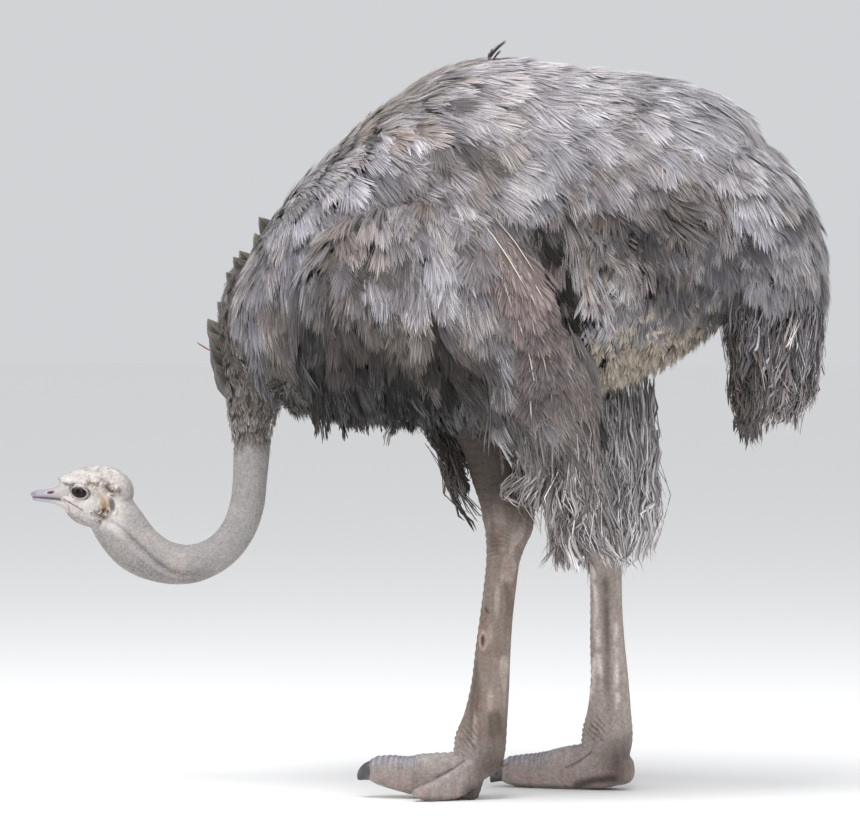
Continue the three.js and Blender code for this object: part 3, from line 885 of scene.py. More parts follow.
def spread_over(tree, value, low, high, least, most):
    """A value between `low` and `high` brought to the range from `least` to `most`."""
    return add_node(
        tree, "ShaderNodeMapRange", Value=value,
        From_Min=low, From_Max=high, To_Min=least, To_Max=most,
    ).outputs[0]


def emboss(tree, shader, height, depth, strength):
    """Raises the surface by this pattern, by at most `depth` millimetres."""
    relief = add_node(
        tree, "ShaderNodeBump", Height=height, Distance=depth * MM, Strength=strength
    )
    tree.links.new(relief.outputs[0], shader.inputs["Normal"])


# Tanned skin: matt to satin, pebbled with scales about 4 mm across that catch the light, coarse on
# the neck and legs and fine on the face. Its colour holds a painted highlight on each scale and
# painted shade between them. Fine wrinkles run through them.
PEBBLE = 4.2
hide, tree, shader = new_material("tanned ostrich skin", Roughness=0.6, Specular_IOR_Level=0.35)
spot = add_node(tree, "ShaderNodeTexCoord").outputs["Object"]
wander = speckles(tree, spot, 9, 2.0).outputs["Color"]
moved = sums(
    tree, "ShaderNodeVectorMath", "MULTIPLY_ADD", i0=wander, i1=[1.6 * MM] * 3, i2=spot
)
pebbles = add_node(
    tree, "ShaderNodeTexVoronoi", Vector=moved, Scale=1 / (PEBBLE * MM)
).outputs["Distance"]
grit = speckles(tree, spot, 1.2, 3.0).outputs["Fac"]
folds = speckles(tree, spot, 11, 4.0, Distortion=1.6).outputs["Fac"]
coarse = colour_layer(tree, "Grain")
# Painted highlight on each scale and painted shade between the scales.
dim = spread_over(tree, pebbles, 0.1, 0.8, 0.12, -0.3)
dim = sums(tree, "ShaderNodeMath", "MULTIPLY", i0=dim, i1=coarse)
worn = spread_over(tree, folds, 0.3, 0.7, 0.86, 1.12)
shade = sums(tree, "ShaderNodeMath", "ADD", i0=dim, i1=worn)
shaded = sums(tree, "ShaderNodeVectorMath", "SCALE", i0=colour_layer(tree, "Tint"), Scale=shade)
tree.links.new(shaded, shader.inputs["Base Color"])
sunk = sums(tree, "ShaderNodeMath", "MULTIPLY", i0=pebbles, i1=-1.0)
height = sums(tree, "ShaderNodeMath", "MULTIPLY_ADD", i0=grit, i1=0.35, i2=sunk)
emboss(tree, shader, height, 2.1, coarse)
body.data.materials.clear()
body.data.materials.append(hide)
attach(body, "root")
FLESH = ["trunk", "tail", "neck_base", "neck_middle", "neck_upper", "head"]
for part in ["wing", "ear", "drumstick", "shank", "long_toe", "short_toe"]:
    FLESH += [part + "_left", part + "_right"]
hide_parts(*FLESH)

# ---------------------------------------------------------------- eyes
# Blown glass eyes set behind the lids: a bulged clear front over a dark brown iris and a black
# pupil. Glass is glossy, so each carries a small sharp light.
IRIS = 8.2
PUPIL = 5.6
EYE_SIDES = 72
EYE_RINGS = 60
glass, tree, shader = new_material("painted glass eye", Roughness=0.03, Specular_IOR_Level=0.22)
tree.links.new(colour_layer(tree, "Tint"), shader.inputs["Base Color"])
for side, name in ((1, "eye_left"), (-1, "eye_right")):
    swing, turn = np.meshgrid(
        np.linspace(0.02, np.pi - 0.02, EYE_RINGS),
        np.linspace(0, 2 * np.pi, EYE_SIDES, endpoint=False),
        indexing="ij",
    )
    radius = EYE_RADIUS + 0.9 * np.exp(-((swing / 0.42) ** 2))
    places = np.stack([
        side * (EYE[0] + radius * np.cos(swing)),
        EYE[1] + radius * np.sin(swing) * np.cos(turn),
        EYE[2] + radius * np.sin(swing) * np.sin(turn),
    ], -1).reshape(-1, 3)
    faces = ring_faces(EYE_RINGS, EYE_SIDES)
    faces = (faces if side < 0 else faces[:, ::-1]).tolist()
    front = list(range(EYE_SIDES))
    back = list(range((EYE_RINGS - 1) * EYE_SIDES, EYE_RINGS * EYE_SIDES))
    faces += [front[::-1], back] if side < 0 else [front, back[::-1]]
    eye = make(name + "_glass", (places, faces))
    out = EYE_RADIUS * np.sin(swing.ravel())
    tint = painted(plain("1a110e", len(out)), [
        ("241713", step(IRIS + 0.8, IRIS - 0.6, out)),
        ("5c3425", 0.7 * step(IRIS, IRIS - 2.5, out) * step(PUPIL, PUPIL + 1.5, out)),
        ("050404", step(PUPIL + 0.5, PUPIL - 0.3, out)),
    ])
    store_colours(eye, "Tint", tint)
    eye.data.materials.append(glass)
    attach(eye, "root")
    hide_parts(name)

# ---------------------------------------------------------------- bill
# Two horn sheaths over the jaw bones, the upper one with a ridge down its middle, a slit nostril
# on each side and a blunt nail at its tip. Old horn is satin, lilac-grey and a little pink.
UPPER_BILL = form([
    slab(0, -739, 531.5, 528.6, 3.5),
    slab(0, -736.5, 535, 527.2, 10),
    slab(0, -728, 538.3, 525.8, 16),
    slab(0, -712, 539.4, 524.4, 20),
    slab(0, -696, 543, 523.2, 23.5),
    slab(0, -680, 549.5, 521.6, 26.5),
    slab(0, -662, 557, 519, 28),
], upright=True, square=2.3)
LOWER_BILL = form([
    slab(0, -735.5, 528.6, 523.8, 4.5),
    slab(0, -731, 527.8, 520, 13.5),
    slab(0, -717, 526.6, 517.4, 19),
    slab(0, -698, 525.6, 514.4, 23),
    slab(0, -680, 524.4, 507, 26.2),
    slab(0, -662, 522, 495, 28),
], upright=True, square=2.3)
NOSTRIL = (-697, 536)
horn, tree, shader = new_material("bill horn", Roughness=0.38, Specular_IOR_Level=0.5)
tree.links.new(colour_layer(tree, "Tint"), shader.inputs["Base Color"])
spot = add_node(tree, "ShaderNodeTexCoord").outputs["Object"]
stretched = sums(tree, "ShaderNodeVectorMath", "MULTIPLY", i0=spot, i1=(1.0, 0.25, 1.0))
emboss(tree, shader, speckles(tree, stretched, 1.5, 3.0).outputs["Fac"], 0.3, 0.6)
for name, shape in (("bill_upper", UPPER_BILL), ("bill_lower", LOWER_BILL)):
    sheath = make(name + "_horn", loft(shape, rings=110, sides=84))
    places = points_of(sheath)
    normals = normals_of(sheath)
    x, y, z = places.T
    flank = step(0.1, 0.5, np.abs(normals[:, 0]))
    tint = painted(plain("9c9ba4", len(x)), [
        ("b2acab", step(-712, -676, y)),
        ("8d8089", step(-722, -732, y)),
    ])
    if name == "bill_upper":
        slit = (z - NOSTRIL[1] - 0.12 * (y - NOSTRIL[0])) / 2.7
        slit = np.hypot((y - NOSTRIL[0]) / 7.5, slit)
        lift = -2.2 * step(1.15, 0.45, slit) * flank
        lift += 0.8 * np.exp(-((slit - 1.6) / 0.4) ** 2) * flank
        ridge = np.exp(-((x / 5) ** 2)) * step(0.3, 0.8, normals[:, 2])
        lift += 1.0 * ridge * step(-735, -722, y)
        lift -= 0.8 * crease(y, z, [(-728, 533), (-712, 534), (-703, 535.5)], 1.6) * flank
        lift -= 0.5 * np.exp(-(((y + 724) / 1.4) ** 2)) * step(0, 0.4, normals[:, 2])
        rim = np.interp(y, [-739, -728, -696, -662], [529, 526, 523.4, 519.4])
        tint = painted(tint, [
            # Painted shade inside the nostril's slit.
            ("4a2226", 0.97 * step(1.15, 0.8, slit) * flank),
            ("c5b0ae", 0.4 * np.exp(-((slit - 1.5) / 0.4) ** 2) * flank),
            ("c9b3b7", 0.5 * np.exp(-(((z - rim - 1.6) / 1.3) ** 2)) * flank),
            ("9c8c94", 0.6 * np.exp(-(((z - rim) / 0.9) ** 2))),
        ])
    else:
        lift = -0.5 * crease(y, z, [(-726, 521), (-698, 517), (-672, 507)], 1.4) * flank
        rim = np.interp(y, [-735, -717, -698, -662], [526.8, 524.2, 522.8, 519])
        tint = tinted(tint, "94818a", 0.6 * np.exp(-(((z - rim) / 0.9) ** 2)))
    tint *= 1 + 0.07 * noise(places, 4, 41)[:, None]
    places += normals * lift[:, None]
    set_points(sheath, places)
    store_colours(sheath, "Tint", tint)
    sheath.data.materials.append(horn)
    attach(sheath, "root")
    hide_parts(name)

# ---------------------------------------------------------------- claws
# One thick, blunt claw on each long toe: dark horn worn dull, ridged along its length, with a
# pale cuticle where it leaves the skin.
CLAW_ROWS = [
    slab(0, -178, 42, 8, 17),
    slab(0, -193, 41, 6, 17),
    slab(0, -206, 33, 4, 13.5),
    slab(0, -214, 23, 2, 8),
    slab(0, -218, 14, 3, 3),
]
claw_horn, tree, shader = new_material("worn claw horn", Roughness=0.5, Specular_IOR_Level=0.45)
tree.links.new(colour_layer(tree, "Tint"), shader.inputs["Base Color"])
spot = add_node(tree, "ShaderNodeTexCoord").outputs["Object"]
emboss(tree, shader, speckles(tree, spot, 1.6, 4.0).outputs["Fac"], 0.5, 0.7)
for side, name in ((1, "claw_left"), (-1, "claw_right")):
    claw = make(name + "_horn", loft(foot_form(CLAW_ROWS, side, 2.5, True), rings=50, sides=72))
    places = points_of(claw)
    normals = normals_of(claw)
    along, across = toe_frame(places, side)
    lift = 0.35 * np.sin(across * 2.4) * step(0.1, 0.6, normals[:, 2])
    lift += 0.5 * np.sin(along / 1.1 + 0.05 * across ** 2) * step(200, 190, along)
    places += normals * lift[:, None]
    places[:, 2] = np.maximum(places[:, 2], 0.0)
    set_points(claw, places)
    # The far claw is painted darker, as shade.
    tint = painted(plain("4c494c" if side > 0 else "3d3a3c", len(along)), [
        ("6a6669", 0.7 * step(0.0, 0.6, noise(places * [1, 0.4, 1], 5, 51))),
        ("a3958a", 0.8 * step(193, 187, along + 2 * noise(places, 6, 52))),
        ("2c292a", 0.6 * step(212, 219, along)),
    ])
    store_colours(claw, "Tint", tint)
    claw.data.materials.append(claw_horn)
    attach(claw, "root")
    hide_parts(name)

# ---------------------------------------------------------------- feathers of the back and flanks
# Body feathers: a thin shaft with a soft, rounded fan of barbs. Each is a set of closed
# three-sided slivers: broad blades of barbs that cling together, and loose single barbs over and
# beyond them. They overlap like shingles, grey-brown with frosted tips.

# For each kind of sliver: where its rings stand, from its root at 0 towards its tip at 1; whether
# it is shaded as part of a soft surface; and how uneven its colour is.
BARB_RINGS = {
    "hair": [0.0],
    "blade": [0.0, 0.58],
    2: [0.0, 0.78],
    3: [0.0, 0.5, 0.84],
    4: [0.0, 0.35, 0.62, 0.86],
    "strand": [0.0, 0.22, 0.44, 0.66, 0.86],
}
SOFT = ("hair", "blade", 2)
UNEVEN = {"blade": 0.08, "strand": 0.38, 3: 0.46}
FEATHER_ON_UNWRAP = 0.003


def lie_of(shape, **how):
    """The surface that feathers are rooted on: its points, its faces and a tree to search it."""
    points, faces = loft(shape, **how)
    return points, faces, BVHTree.FromPolygons(points.tolist(), faces)


def nearest(tree, points):
    """The nearest place on a surface to each point, and the way out of the surface there."""
    found = [tree.find_nearest(Vector(point)) for point in points]
    return np.array([hit[0] for hit in found]), np.array([hit[1] for hit in found])


def unit(vectors):
    """Vectors of length 1 along these."""
    return vectors / np.maximum(np.linalg.norm(vectors, axis=-1, keepdims=True), 1e-9)


def swirl(points, size, seed):
    """Smooth random vectors, one for each point, that change over about `size` millimetres."""
    flat = points.reshape(-1, 3)
    return np.stack([noise(flat, size, seed + k) for k in range(3)], 1).reshape(points.shape)


def scatter(lie, gap, seed, keep):
    """Roots spread at random over a surface, no two nearer than the gap asked for there."""
    points, faces, _ = lie
    rng = np.random.default_rng(seed)
    quads = np.array([face for face in faces if len(face) == 4])
    a, b, c, d = (points[quads[:, k]] for k in range(4))
    area = (np.linalg.norm(np.cross(b - a, c - a), axis=1)
            + np.linalg.norm(np.cross(c - a, d - a), axis=1)) / 2
    tries = int(area.sum() / gap ** 2 * 7)
    pick = rng.choice(len(quads), tries, p=area / area.sum())
    u = rng.random((tries, 1))
    v = rng.random((tries, 1))
    spots = (a[pick] * (1 - u) + b[pick] * u) * (1 - v) + (d[pick] * (1 - u) + c[pick] * u) * v
    spots = spots[keep(spots)]
    cells = {}
    roots = []
    for spot in spots:
        i, j, k = (spot // gap).astype(int).tolist()
        around = [cells.get((i + a, j + b, k + c), ()) for a, b, c in product((-1, 0, 1), repeat=3)]
        if all(((spot - other) ** 2).sum() >= gap * gap for cell in around for other in cell):
            cells.setdefault((i, j, k), []).append(spot)
            roots.append(spot)
    return np.array(roots)


def comb(tree, roots, flow, length, rise, seed, knots=6, yaw=0.16, free=0.3, droop=0.0):
    """Lays a shaft from each root along the flow: the shafts' points, and the way out at each.

    `rise` is how far a shaft climbs off the surface, `yaw` how unevenly the shafts lie, `free`
    how much they leave the surface where the flow does, and `droop` how much loose ends hang.
    """
    rng = np.random.default_rng(seed)
    count = len(roots)
    length = np.broadcast_to(length, count) * rng.uniform(0.85, 1.15, count)
    rise = np.broadcast_to(rise, count) * rng.uniform(0.6, 1.35, count)
    swing = rng.normal(0, yaw, count)[:, None]
    spot = roots.copy()
    shafts = [spot]
    _, out = nearest(tree, spot)
    outs = [out]
    heading = flow(spot)
    for knot in range(1, knots + 1):
        heading = unit(0.35 * heading + 0.65 * flow(spot) + [0, 0, -droop * knot / knots])
        way = heading * np.cos(swing) + np.cross(out, heading) * np.sin(swing)
        off = (way * out).sum(1, keepdims=True)
        way = unit(way - out * np.where(off < 0, off, off * (1 - free)))
        spot = spot + way * (length / knots)[:, None]
        ground, out = nearest(tree, spot)
        high = ((spot - ground) * out).sum(1)
        want = rise * knot / knots
        spot = np.where((high < want)[:, None], ground + out * want[:, None], spot)
        shafts.append(spot)
        outs.append(out)
    return np.stack(shafts, 1), np.stack(outs, 1)


def slivers(line, out, thick, tip_at, vane, crest=0.6, base=0.5, peak=0.7, end=0.6, hairs=2.0,
            span=(0.0, 1.0)):
    """Closed three-sided slivers along these lines.

    `crest` is how high the outer side stands, `base` how broad the root is, `peak` where the
    sliver is broadest and `end` how broad it stays towards its tip, `hairs` how many
    barbs cling together in one, and `span` the colours it runs between: 0 root, 1 tip.
    """
    across = unit(np.cross(np.gradient(line, axis=-2), out))
    wide = thick * np.interp(tip_at, [0, peak, 1], [base, 1.0, end]) / 2
    wide = np.broadcast_to(wide, line.shape[:-1])[..., None]
    rings = np.stack([line - across * wide, line + out * wide * crest, line + across * wide], 3)
    count, barbs = line.shape[:2]
    points = np.concatenate([rings[:, :, :-1].reshape(count, barbs, -1, 3), line[:, :, -1:]], 2)
    along = np.append(np.repeat(tip_at[:-1], 3), 1.0)
    far = np.broadcast_to(span[0] + (span[1] - span[0]) * along, points.shape[:3])
    ridge = np.append(np.tile([0.0, 1.0, 0.0], len(tip_at) - 1), 0.6) * min(1.0, crest / 0.6)
    ridge = np.broadcast_to(ridge, points.shape[:3])
    over = np.append(np.tile([-0.5, 0.0, 0.5], len(tip_at) - 1), 0.0) * hairs
    lay = np.stack([np.broadcast_to(over, far.shape), np.broadcast_to(along, far.shape)], -1)
    vane = np.concatenate([np.repeat(vane[:, :, :-1], 3, axis=2), vane[:, :, -1:]], 2)
    bend = across * (0.12 + 0.6 * crest)
    out = np.broadcast_to(out, line.shape)
    lean = np.stack([out - bend, out, out + bend], 3)[:, :, :-1].reshape(count, barbs, -1, 3)
    lean = np.concatenate([lean, out[:, :, -1:]], 2)
    return points, far, ridge, vane, lay, lean


def along_shaft(shafts, outs, s):
    """The place, the way ahead and the way out at these shares of each shaft's length."""
    knots = shafts.shape[1] - 1
    at = np.clip(s, 0, 1.12) * knots
    low = np.clip(at.astype(int), 0, knots - 1)
    rest = (at - low)[..., None]
    who = np.arange(len(shafts)).reshape((-1,) + (1,) * (s.ndim - 1))
    spine = shafts[who, low] + (shafts[who, low + 1] - shafts[who, low]) * rest
    ahead = unit(np.diff(shafts, axis=1))[who, low]
    out = outs[who, low] * (1 - rest) + outs[who, low + 1] * rest
    return spine, ahead, unit(out - ahead * (out * ahead).sum(-1, keepdims=True))


def spread_barbs(shafts, outs, width, barbs, seed, rings=2, heart=0.72, reach=0.5, fan=1.75,
                 sides=0.45, clumps=4, fray=0.05, pull=0.22, thick=2.6, camber=0.12, bow=0.62,
                 lift=0.0, stray=0.0, skew=0.0, curl=0.0, apart=0.0, **look):
    """The barbs of each feather as slivers.

    `heart` is where the rounded end's middle lies along the shaft, `reach` how long the barbs
    are, `fan` how far round it they go, in radians from the tip, `sides` how much of the shaft
    each further radian takes, `pull` how far the barbs draw together into clumps, `curl` how far
    they bend aside with their neighbours and `apart` how far off the shaft they already start.
    """
    rng = np.random.default_rng(seed)
    count = len(shafts)
    width = np.broadcast_to(width, count)[:, None]
    share = (np.arange(barbs) + 0.5) / barbs + rng.normal(0, 0.25 / barbs, (count, barbs))
    offset = rng.random((count, 1))
    clump = np.floor(share * clumps + offset).astype(int)
    middle = (clump + 0.5 - offset) / clumps
    share = share + (middle - share) * pull * rng.uniform(0.5, 1.4, (count, 1))
    turn = (share * 2 - 1) * fan + skew + rng.normal(0, 1, (count, barbs)) * stray
    uneven = rng.normal(0, 1.2 * fray, (count, clumps + 2))
    grown = 1 + np.take_along_axis(uneven, np.clip(clump, 0, clumps + 1), 1)
    grown += rng.normal(0, fray, (count, barbs))
    round_turn = np.clip(turn, -np.pi / 2, np.pi / 2)
    past = np.abs(turn) - np.abs(round_turn)
    end_u = np.sin(round_turn) * width / 2 * grown
    end_s = heart + np.cos(round_turn) * (1 - heart) * grown - sides * past
    start_s = np.clip(end_s - reach * (1 + 0.1 * np.abs(np.sin(turn))), 0.0, 0.94)
    tip_at = np.array(BARB_RINGS[rings] + [1.0])
    t = tip_at[None, None, :]
    u = end_u[..., None] * (apart + (1 - apart) * (2 * t * (1 - t) * bow + t * t))
    bend_s = start_s + 0.42 * (end_s - start_s)
    s = (1 - t) ** 2 * start_s[..., None] + 2 * t * (1 - t) * bend_s[..., None]
    s = s + t * t * end_s[..., None]
    spine, ahead, out = along_shaft(shafts, outs, s)
    half = width[..., None] / 2
    off = rng.normal(0, 0.7, (count, barbs, 1)) + rng.normal(0, 1.2, (count, barbs, 1)) * t
    off = off + lift - camber * half * (u / half) ** 2
    line = spine + np.cross(ahead, out) * u[..., None] + out * off[..., None]
    if curl:
        line = line + curl * t[..., None] * swirl(line, 20, seed + 300)
    vane = np.stack([u / np.maximum(half * 2, 1), s], -1)
    return slivers(line, out, thick, tip_at, vane, **look)


def quills(shafts, outs, thick, rings=4, first=0.0, last=1.0, proud=1.0, **look):
    """One sliver down the middle of each feather, as its bare shaft or as a hair."""
    tip_at = np.array(BARB_RINGS[rings] + [1.0])
    s = np.broadcast_to(first + (last - first) * tip_at, (len(shafts), 1, len(tip_at)))
    spine, _, out = along_shaft(shafts, outs, s)
    return slivers(spine + out * proud, out, thick, tip_at, np.stack([0 * s, s], -1), **look)


def feathers(shafts, outs, width, tones, seed, blades=9, loose=46, fray=0.12, pull=0.22, **shape):
    """Whole soft feathers, as batches: a dense vane of blades under fine loose barbs."""
    deep, middle, tip = tones
    rng = np.random.default_rng(seed + 2)
    shape["fan"] = shape.get("fan", 1.6) * rng.uniform(0.78, 1.1, (len(shafts), 1))
    shape["skew"] = rng.normal(0, 0.2, (len(shafts), 1))
    shape["clumps"] = shape.get("clumps", 6)
    shape["heart"] = shape.get("heart", 0.76) + rng.uniform(-0.07, 0.07, (len(shafts), 1))
    shape["curl"] = shape.get("curl", 2.0)
    fine = spread_barbs(
        shafts, outs, width * 1.06, loose, seed + 1, "hair", reach=0.46, fray=fray, pull=pull,
        thick=2.6, lift=1.0, stray=0.14, apart=0.6, span=(0.45, 1.0), **shape
    )
    shape["heart"] = shape["heart"] - 0.08
    dense = spread_barbs(
        shafts, outs, width * 0.9, blades, seed, "blade", reach=0.5, fray=fray, pull=0.0,
        thick=9.0, crest=0.08, base=0.3, hairs=5, apart=0.3, span=(0.1, 0.9), **shape
    )
    return [(dense, (deep, middle, middle + 0.3 * (tip - middle)), "blade"), (fine, tones, "hair")]


def sliver_faces(total, rings):
    """The triangles of this many closed three-sided slivers."""
    size = 3 * rings + 1
    faces = [(0, 2, 1)]
    for ring in range(rings - 1):
        for k in range(3):
            a = 3 * ring + k
            b = 3 * ring + (k + 1) % 3
            faces += [(a, b, b + 3), (a, b + 3, a + 3)]
    for k in range(3):
        faces.append((3 * (rings - 1) + k, 3 * (rings - 1) + (k + 1) % 3, size - 1))
    return (np.array(faces)[None] + np.arange(total)[:, None, None] * size).reshape(-1, 3)


def inside(shape, points, grow=0.0):
    """Whether points lie inside an upright form."""
    rows = shape["rows"]
    row = smooth_rows(rows, np.interp(points[:, 1], rows[:, 1], np.arange(len(rows))))
    rise = points[:, 2] - row[:, 2]
    reach = np.maximum(np.where(rise > 0, row[:, 4], row[:, 5]) + grow, 1)
    half = np.maximum(row[:, 3] + grow, 1)
    over = np.abs((points[:, 0] - row[:, 0]) / half) ** shape["square"]
    over += np.abs(rise / reach) ** shape["square"]
    within = (points[:, 1] > rows[0, 1]) & (points[:, 1] < rows[-1, 1])
    return within & (over < 1)


def unwrap_round(beside, along, start, length):
    """Places on an unwrap: round an axis, and along it from its start over this length."""
    turn = np.arctan2(*beside) / (2 * np.pi) + 0.5
    return 0.02 + 0.96 * np.stack([turn, (along - start) / length], -1)


def round_body(points):
    """Places on an unwrap of the body: round it, and along it from breast to tail."""
    return unwrap_round((points[:, 0], points[:, 2] - 950), points[:, 1], -420, 1180)


# Feather keratin: dry and soft, with a faint sheen. Barbs that cling together still show as fine
# light and dark lines along the vane.
vane_keratin, tree, shader = new_material(
    "soft feather keratin", Roughness=0.75, Specular_IOR_Level=0.25,
    Sheen_Weight=0.3, Sheen_Roughness=0.5,
)
lines = sums(
    tree, "ShaderNodeVectorMath", "MULTIPLY", i0=colour_layer(tree, "Lay"), i1=(1.6, 0.9, 60.0)
)
streaks = add_node(tree, "ShaderNodeTexNoise", Vector=lines, Scale=1.0, Detail=1.0)
barb_lines = streaks.outputs["Fac"]
shade = spread_over(tree, barb_lines, 0.3, 0.7, 0.52, 1.4)
shaded = sums(tree, "ShaderNodeVectorMath", "SCALE", i0=colour_layer(tree, "Tint"), Scale=shade)
tree.links.new(shaded, shader.inputs["Base Color"])
emboss(tree, shader, barb_lines, 0.6, 0.6)


def coat(name, batches, unwrap=round_body, soft=True):
    """One piece of the coat, from batches of (barbs, tones, rings).

    Tones are each feather's colours at its root, in its vane and at its tips. A soft piece takes
    its light as one surface, and the others take it barb by barb.
    """
    rng = np.random.default_rng(len(name) * 97 + 5)
    points, faces, colours, lays, maps, leans = ([] for _ in range(6))
    made = 0
    for (spots, far, crest, vane, lay, lean), tones, rings in batches:
        count, barbs, size = spots.shape[:3]
        deep, middle, tip = (tone[:, None, None, :] for tone in tones)
        share = far[..., None]
        # Colours run from the root tone, darker partly as the feathers' own bases and partly as
        # painted shade where feathers overlap, through the vane to the tips.
        colour = deep + (middle - deep) * np.clip(share / 0.72, 0, 1)
        colour = colour + (tip - colour) * np.clip((share - 0.62) / 0.38, 0, 1)
        uneven = UNEVEN.get(rings, 0.2)
        colour = colour * np.maximum(rng.normal(1, uneven, (count, barbs, 1, 1)), 0.25)
        # Painted highlight along each sliver's crest and painted shade along its sides.
        colour = colour * (0.85 + 0.22 * crest[..., None])
        which = np.broadcast_to(rng.random((count, barbs, 1, 1)), (count, barbs, size, 1))
        lays.append(np.concatenate([lay, which], -1).reshape(-1, 3))
        root = unwrap(spots[:, 0, 0])[:, None, None, :]
        maps.append((root + FEATHER_ON_UNWRAP * (vane - [0, 0.5])).reshape(-1, 2))
        points.append(spots.reshape(-1, 3))
        colours.append(np.clip(colour, 0, 1).reshape(-1, 3))
        faces.append(sliver_faces(count * barbs, len(BARB_RINGS[rings])) + made)
        lean = lean + rng.normal(0, 0.16, (count, barbs, 1, 3))
        shaped = soft & (rings in SOFT) & (lean[:, :1, :1, 2:] > -0.2)
        leans.append((unit(lean) * shaped).reshape(-1, 3))
        made += count * barbs * size
    points = np.vstack(points)
    faces = np.vstack(faces).astype(np.int32)
    mesh = bpy.data.meshes.new(name)
    mesh.vertices.add(len(points))
    mesh.vertices.foreach_set("co", (points * MM + ORIGIN).ravel())
    mesh.loops.add(faces.size)
    mesh.loops.foreach_set("vertex_index", faces.ravel())
    mesh.polygons.add(len(faces))
    mesh.polygons.foreach_set("loop_start", np.arange(0, faces.size, 3, dtype=np.int32))
    mesh.update(calc_edges=True)
    mesh.shade_smooth()
    mesh.normals_split_custom_set_from_vertices(np.vstack(leans))
    bake = mesh.uv_layers.new(name="OFBake")
    bake.data.foreach_set("uv", np.vstack(maps)[faces.ravel()].ravel())
    piece = add_object(name, mesh)
    store_colours(piece, "Tint", np.vstack(colours))
    store_colours(piece, "Lay", np.vstack(lays))
    mesh.materials.append(vane_keratin)
    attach(piece, "root")
    return piece


# Patches of the coat as they lie on each side, by (back, up): where it is bleached, with painted
# light along the top of the back; browned by wear; shaded by the parts above it, as painted shade;
# or broken into small ragged tufts.
BLEACHED_AND_LIT = [
    ((300, 1250), (300, 95)),
    ((150, 1120), (75, 90)),
    ((366, 880), (42, 70)),
    ((-175, 990), (34, 120)),
    ((40, 960), (80, 60)),
    ((620, 1010), (50, 60)),
    ((604, 1140), (50, 60)),
]
BROWNED = [
    ((20, 1190), (110, 70)),
    ((-40, 1060), (60, 60)),
    ((0, 860), (110, 60)),
    ((470, 1120), (70, 60)),
]
SHADED = [
    ((-200, 860), (46, 120)),
    ((-165, 800), (26, 110)),
    ((560, 1010), (60, 34)),
    ((-40, 850), (50, 30)),
    ((-120, 960), (30, 50)),
    ((60, 1180), (34, 26)),
    ((395, 1050), (135, 66)),
    ((470, 960), (60, 50)),
    ((520, 860), (34, 44)),
]
RAGGED = [
    ((390, 1050), (150, 74)),
    ((460, 960), (90, 56)),
    ((330, 950), (50, 70)),
]


def patches(points, spots):
    """How far points lie in any of these patches."""
    _, y, z = (points + 16 * swirl(points, 40, 201)).T
    return np.max([blob(y, z, *spot) for spot in spots], axis=0)


def plumage_tones(roots, seed):
    """Root, vane and tip colours: warm grey-brown or cool lilac-grey in patches, some frosted;
    painted light high up, painted shade low down and in shaded patches.
    """
    rng = np.random.default_rng(seed)
    count = len(roots)
    light = patches(roots, BLEACHED_AND_LIT)
    worn = patches(roots, BROWNED)
    cool = 0.5 + 0.6 * noise(roots * [0.6, 1, 1], 110, 61) + 0.3 * noise(roots, 45, 62)
    cool += rng.normal(0, 0.22, count) + 0.5 * light - 0.7 * worn
    middle = painted(plain("86756b", count), [("9b98a4", cool), ("bab4ba", 0.8 * light)])
    frost = 0.5 + 0.8 * noise(roots, 50, 64) + rng.normal(0, 0.35, count) + 0.3 * light
    frost = np.clip(frost, 0, 1)
    tip = painted(middle, [("dcd5d0", 0.4 + 0.5 * frost), ("ebeaf1", 0.65 * cool * frost)])
    fade_and_shade = rng.normal(1.0, 0.25, count) + 0.3 * noise(roots, 70, 63)
    # Painted shade in the shaded patches; painted light and shade by height, darker low on the body
    # and lighter high up.
    fade_and_shade *= 1 - 0.75 * patches(roots, SHADED)
    fade_and_shade *= np.interp(roots[:, 2], [850, 1250], [0.86, 1.02])
    fade_and_shade = fade_and_shade[:, None]
    return middle * fade_and_shade * 0.26, middle * fade_and_shade * 0.95, tip * fade_and_shade * 1.1


def toned_towards(tones, dark, share):
    """Tones drawn towards another colour: painted shade in hollows and low on the body, and darker,
    browner feathers elsewhere.
    """
    return [tinted(tone, dark, share) for tone in tones]


def trunk_flow(points):
    """Tailwards along the back, turning down over the flanks and the breast."""
    rows = TRUNK["rows"]
    row = smooth_rows(rows, np.interp(points[:, 1], rows[:, 1], np.arange(len(rows))))
    level = (points[:, 2] - row[:, 2] + row[:, 5]) / (row[:, 4] + row[:, 5])
    angle = np.radians(np.interp(level, [0, 0.35, 0.7, 1.0], [88, 76, 44, 6]))
    front = step(-60, -330, points[:, 1]) * step(1.0, 0.72, level)
    angle = angle + (math.radians(97) - angle) * front
    rear = step(540, 610, points[:, 1])
    angle = angle + (math.radians(84) - angle) * rear
    return np.stack([np.zeros(len(points)), np.cos(angle), -np.sin(angle)], 1)


def belly_line(back_at):
    """The height below which the underside is woolly down."""
    places = [150, 200, 294, 338, 409, 479, 560]
    return np.interp(back_at, places, [720, 785, 846, 858, 893, 908, 925])


trunk_lie = lie_of(TRUNK, first=0.35, last=13.7, rings=110, sides=110, grow=-15)


def shown_on_trunk(points):
    """Whether a root on the trunk would show: not under a wing, and not on the woolly belly."""
    under = inside(WINGS[1], points, -36) | inside(WINGS[-1], points, -36)
    woolly = (points[:, 2] < belly_line(points[:, 1])) & (points[:, 1] > 140)
    return ~under & ~woolly


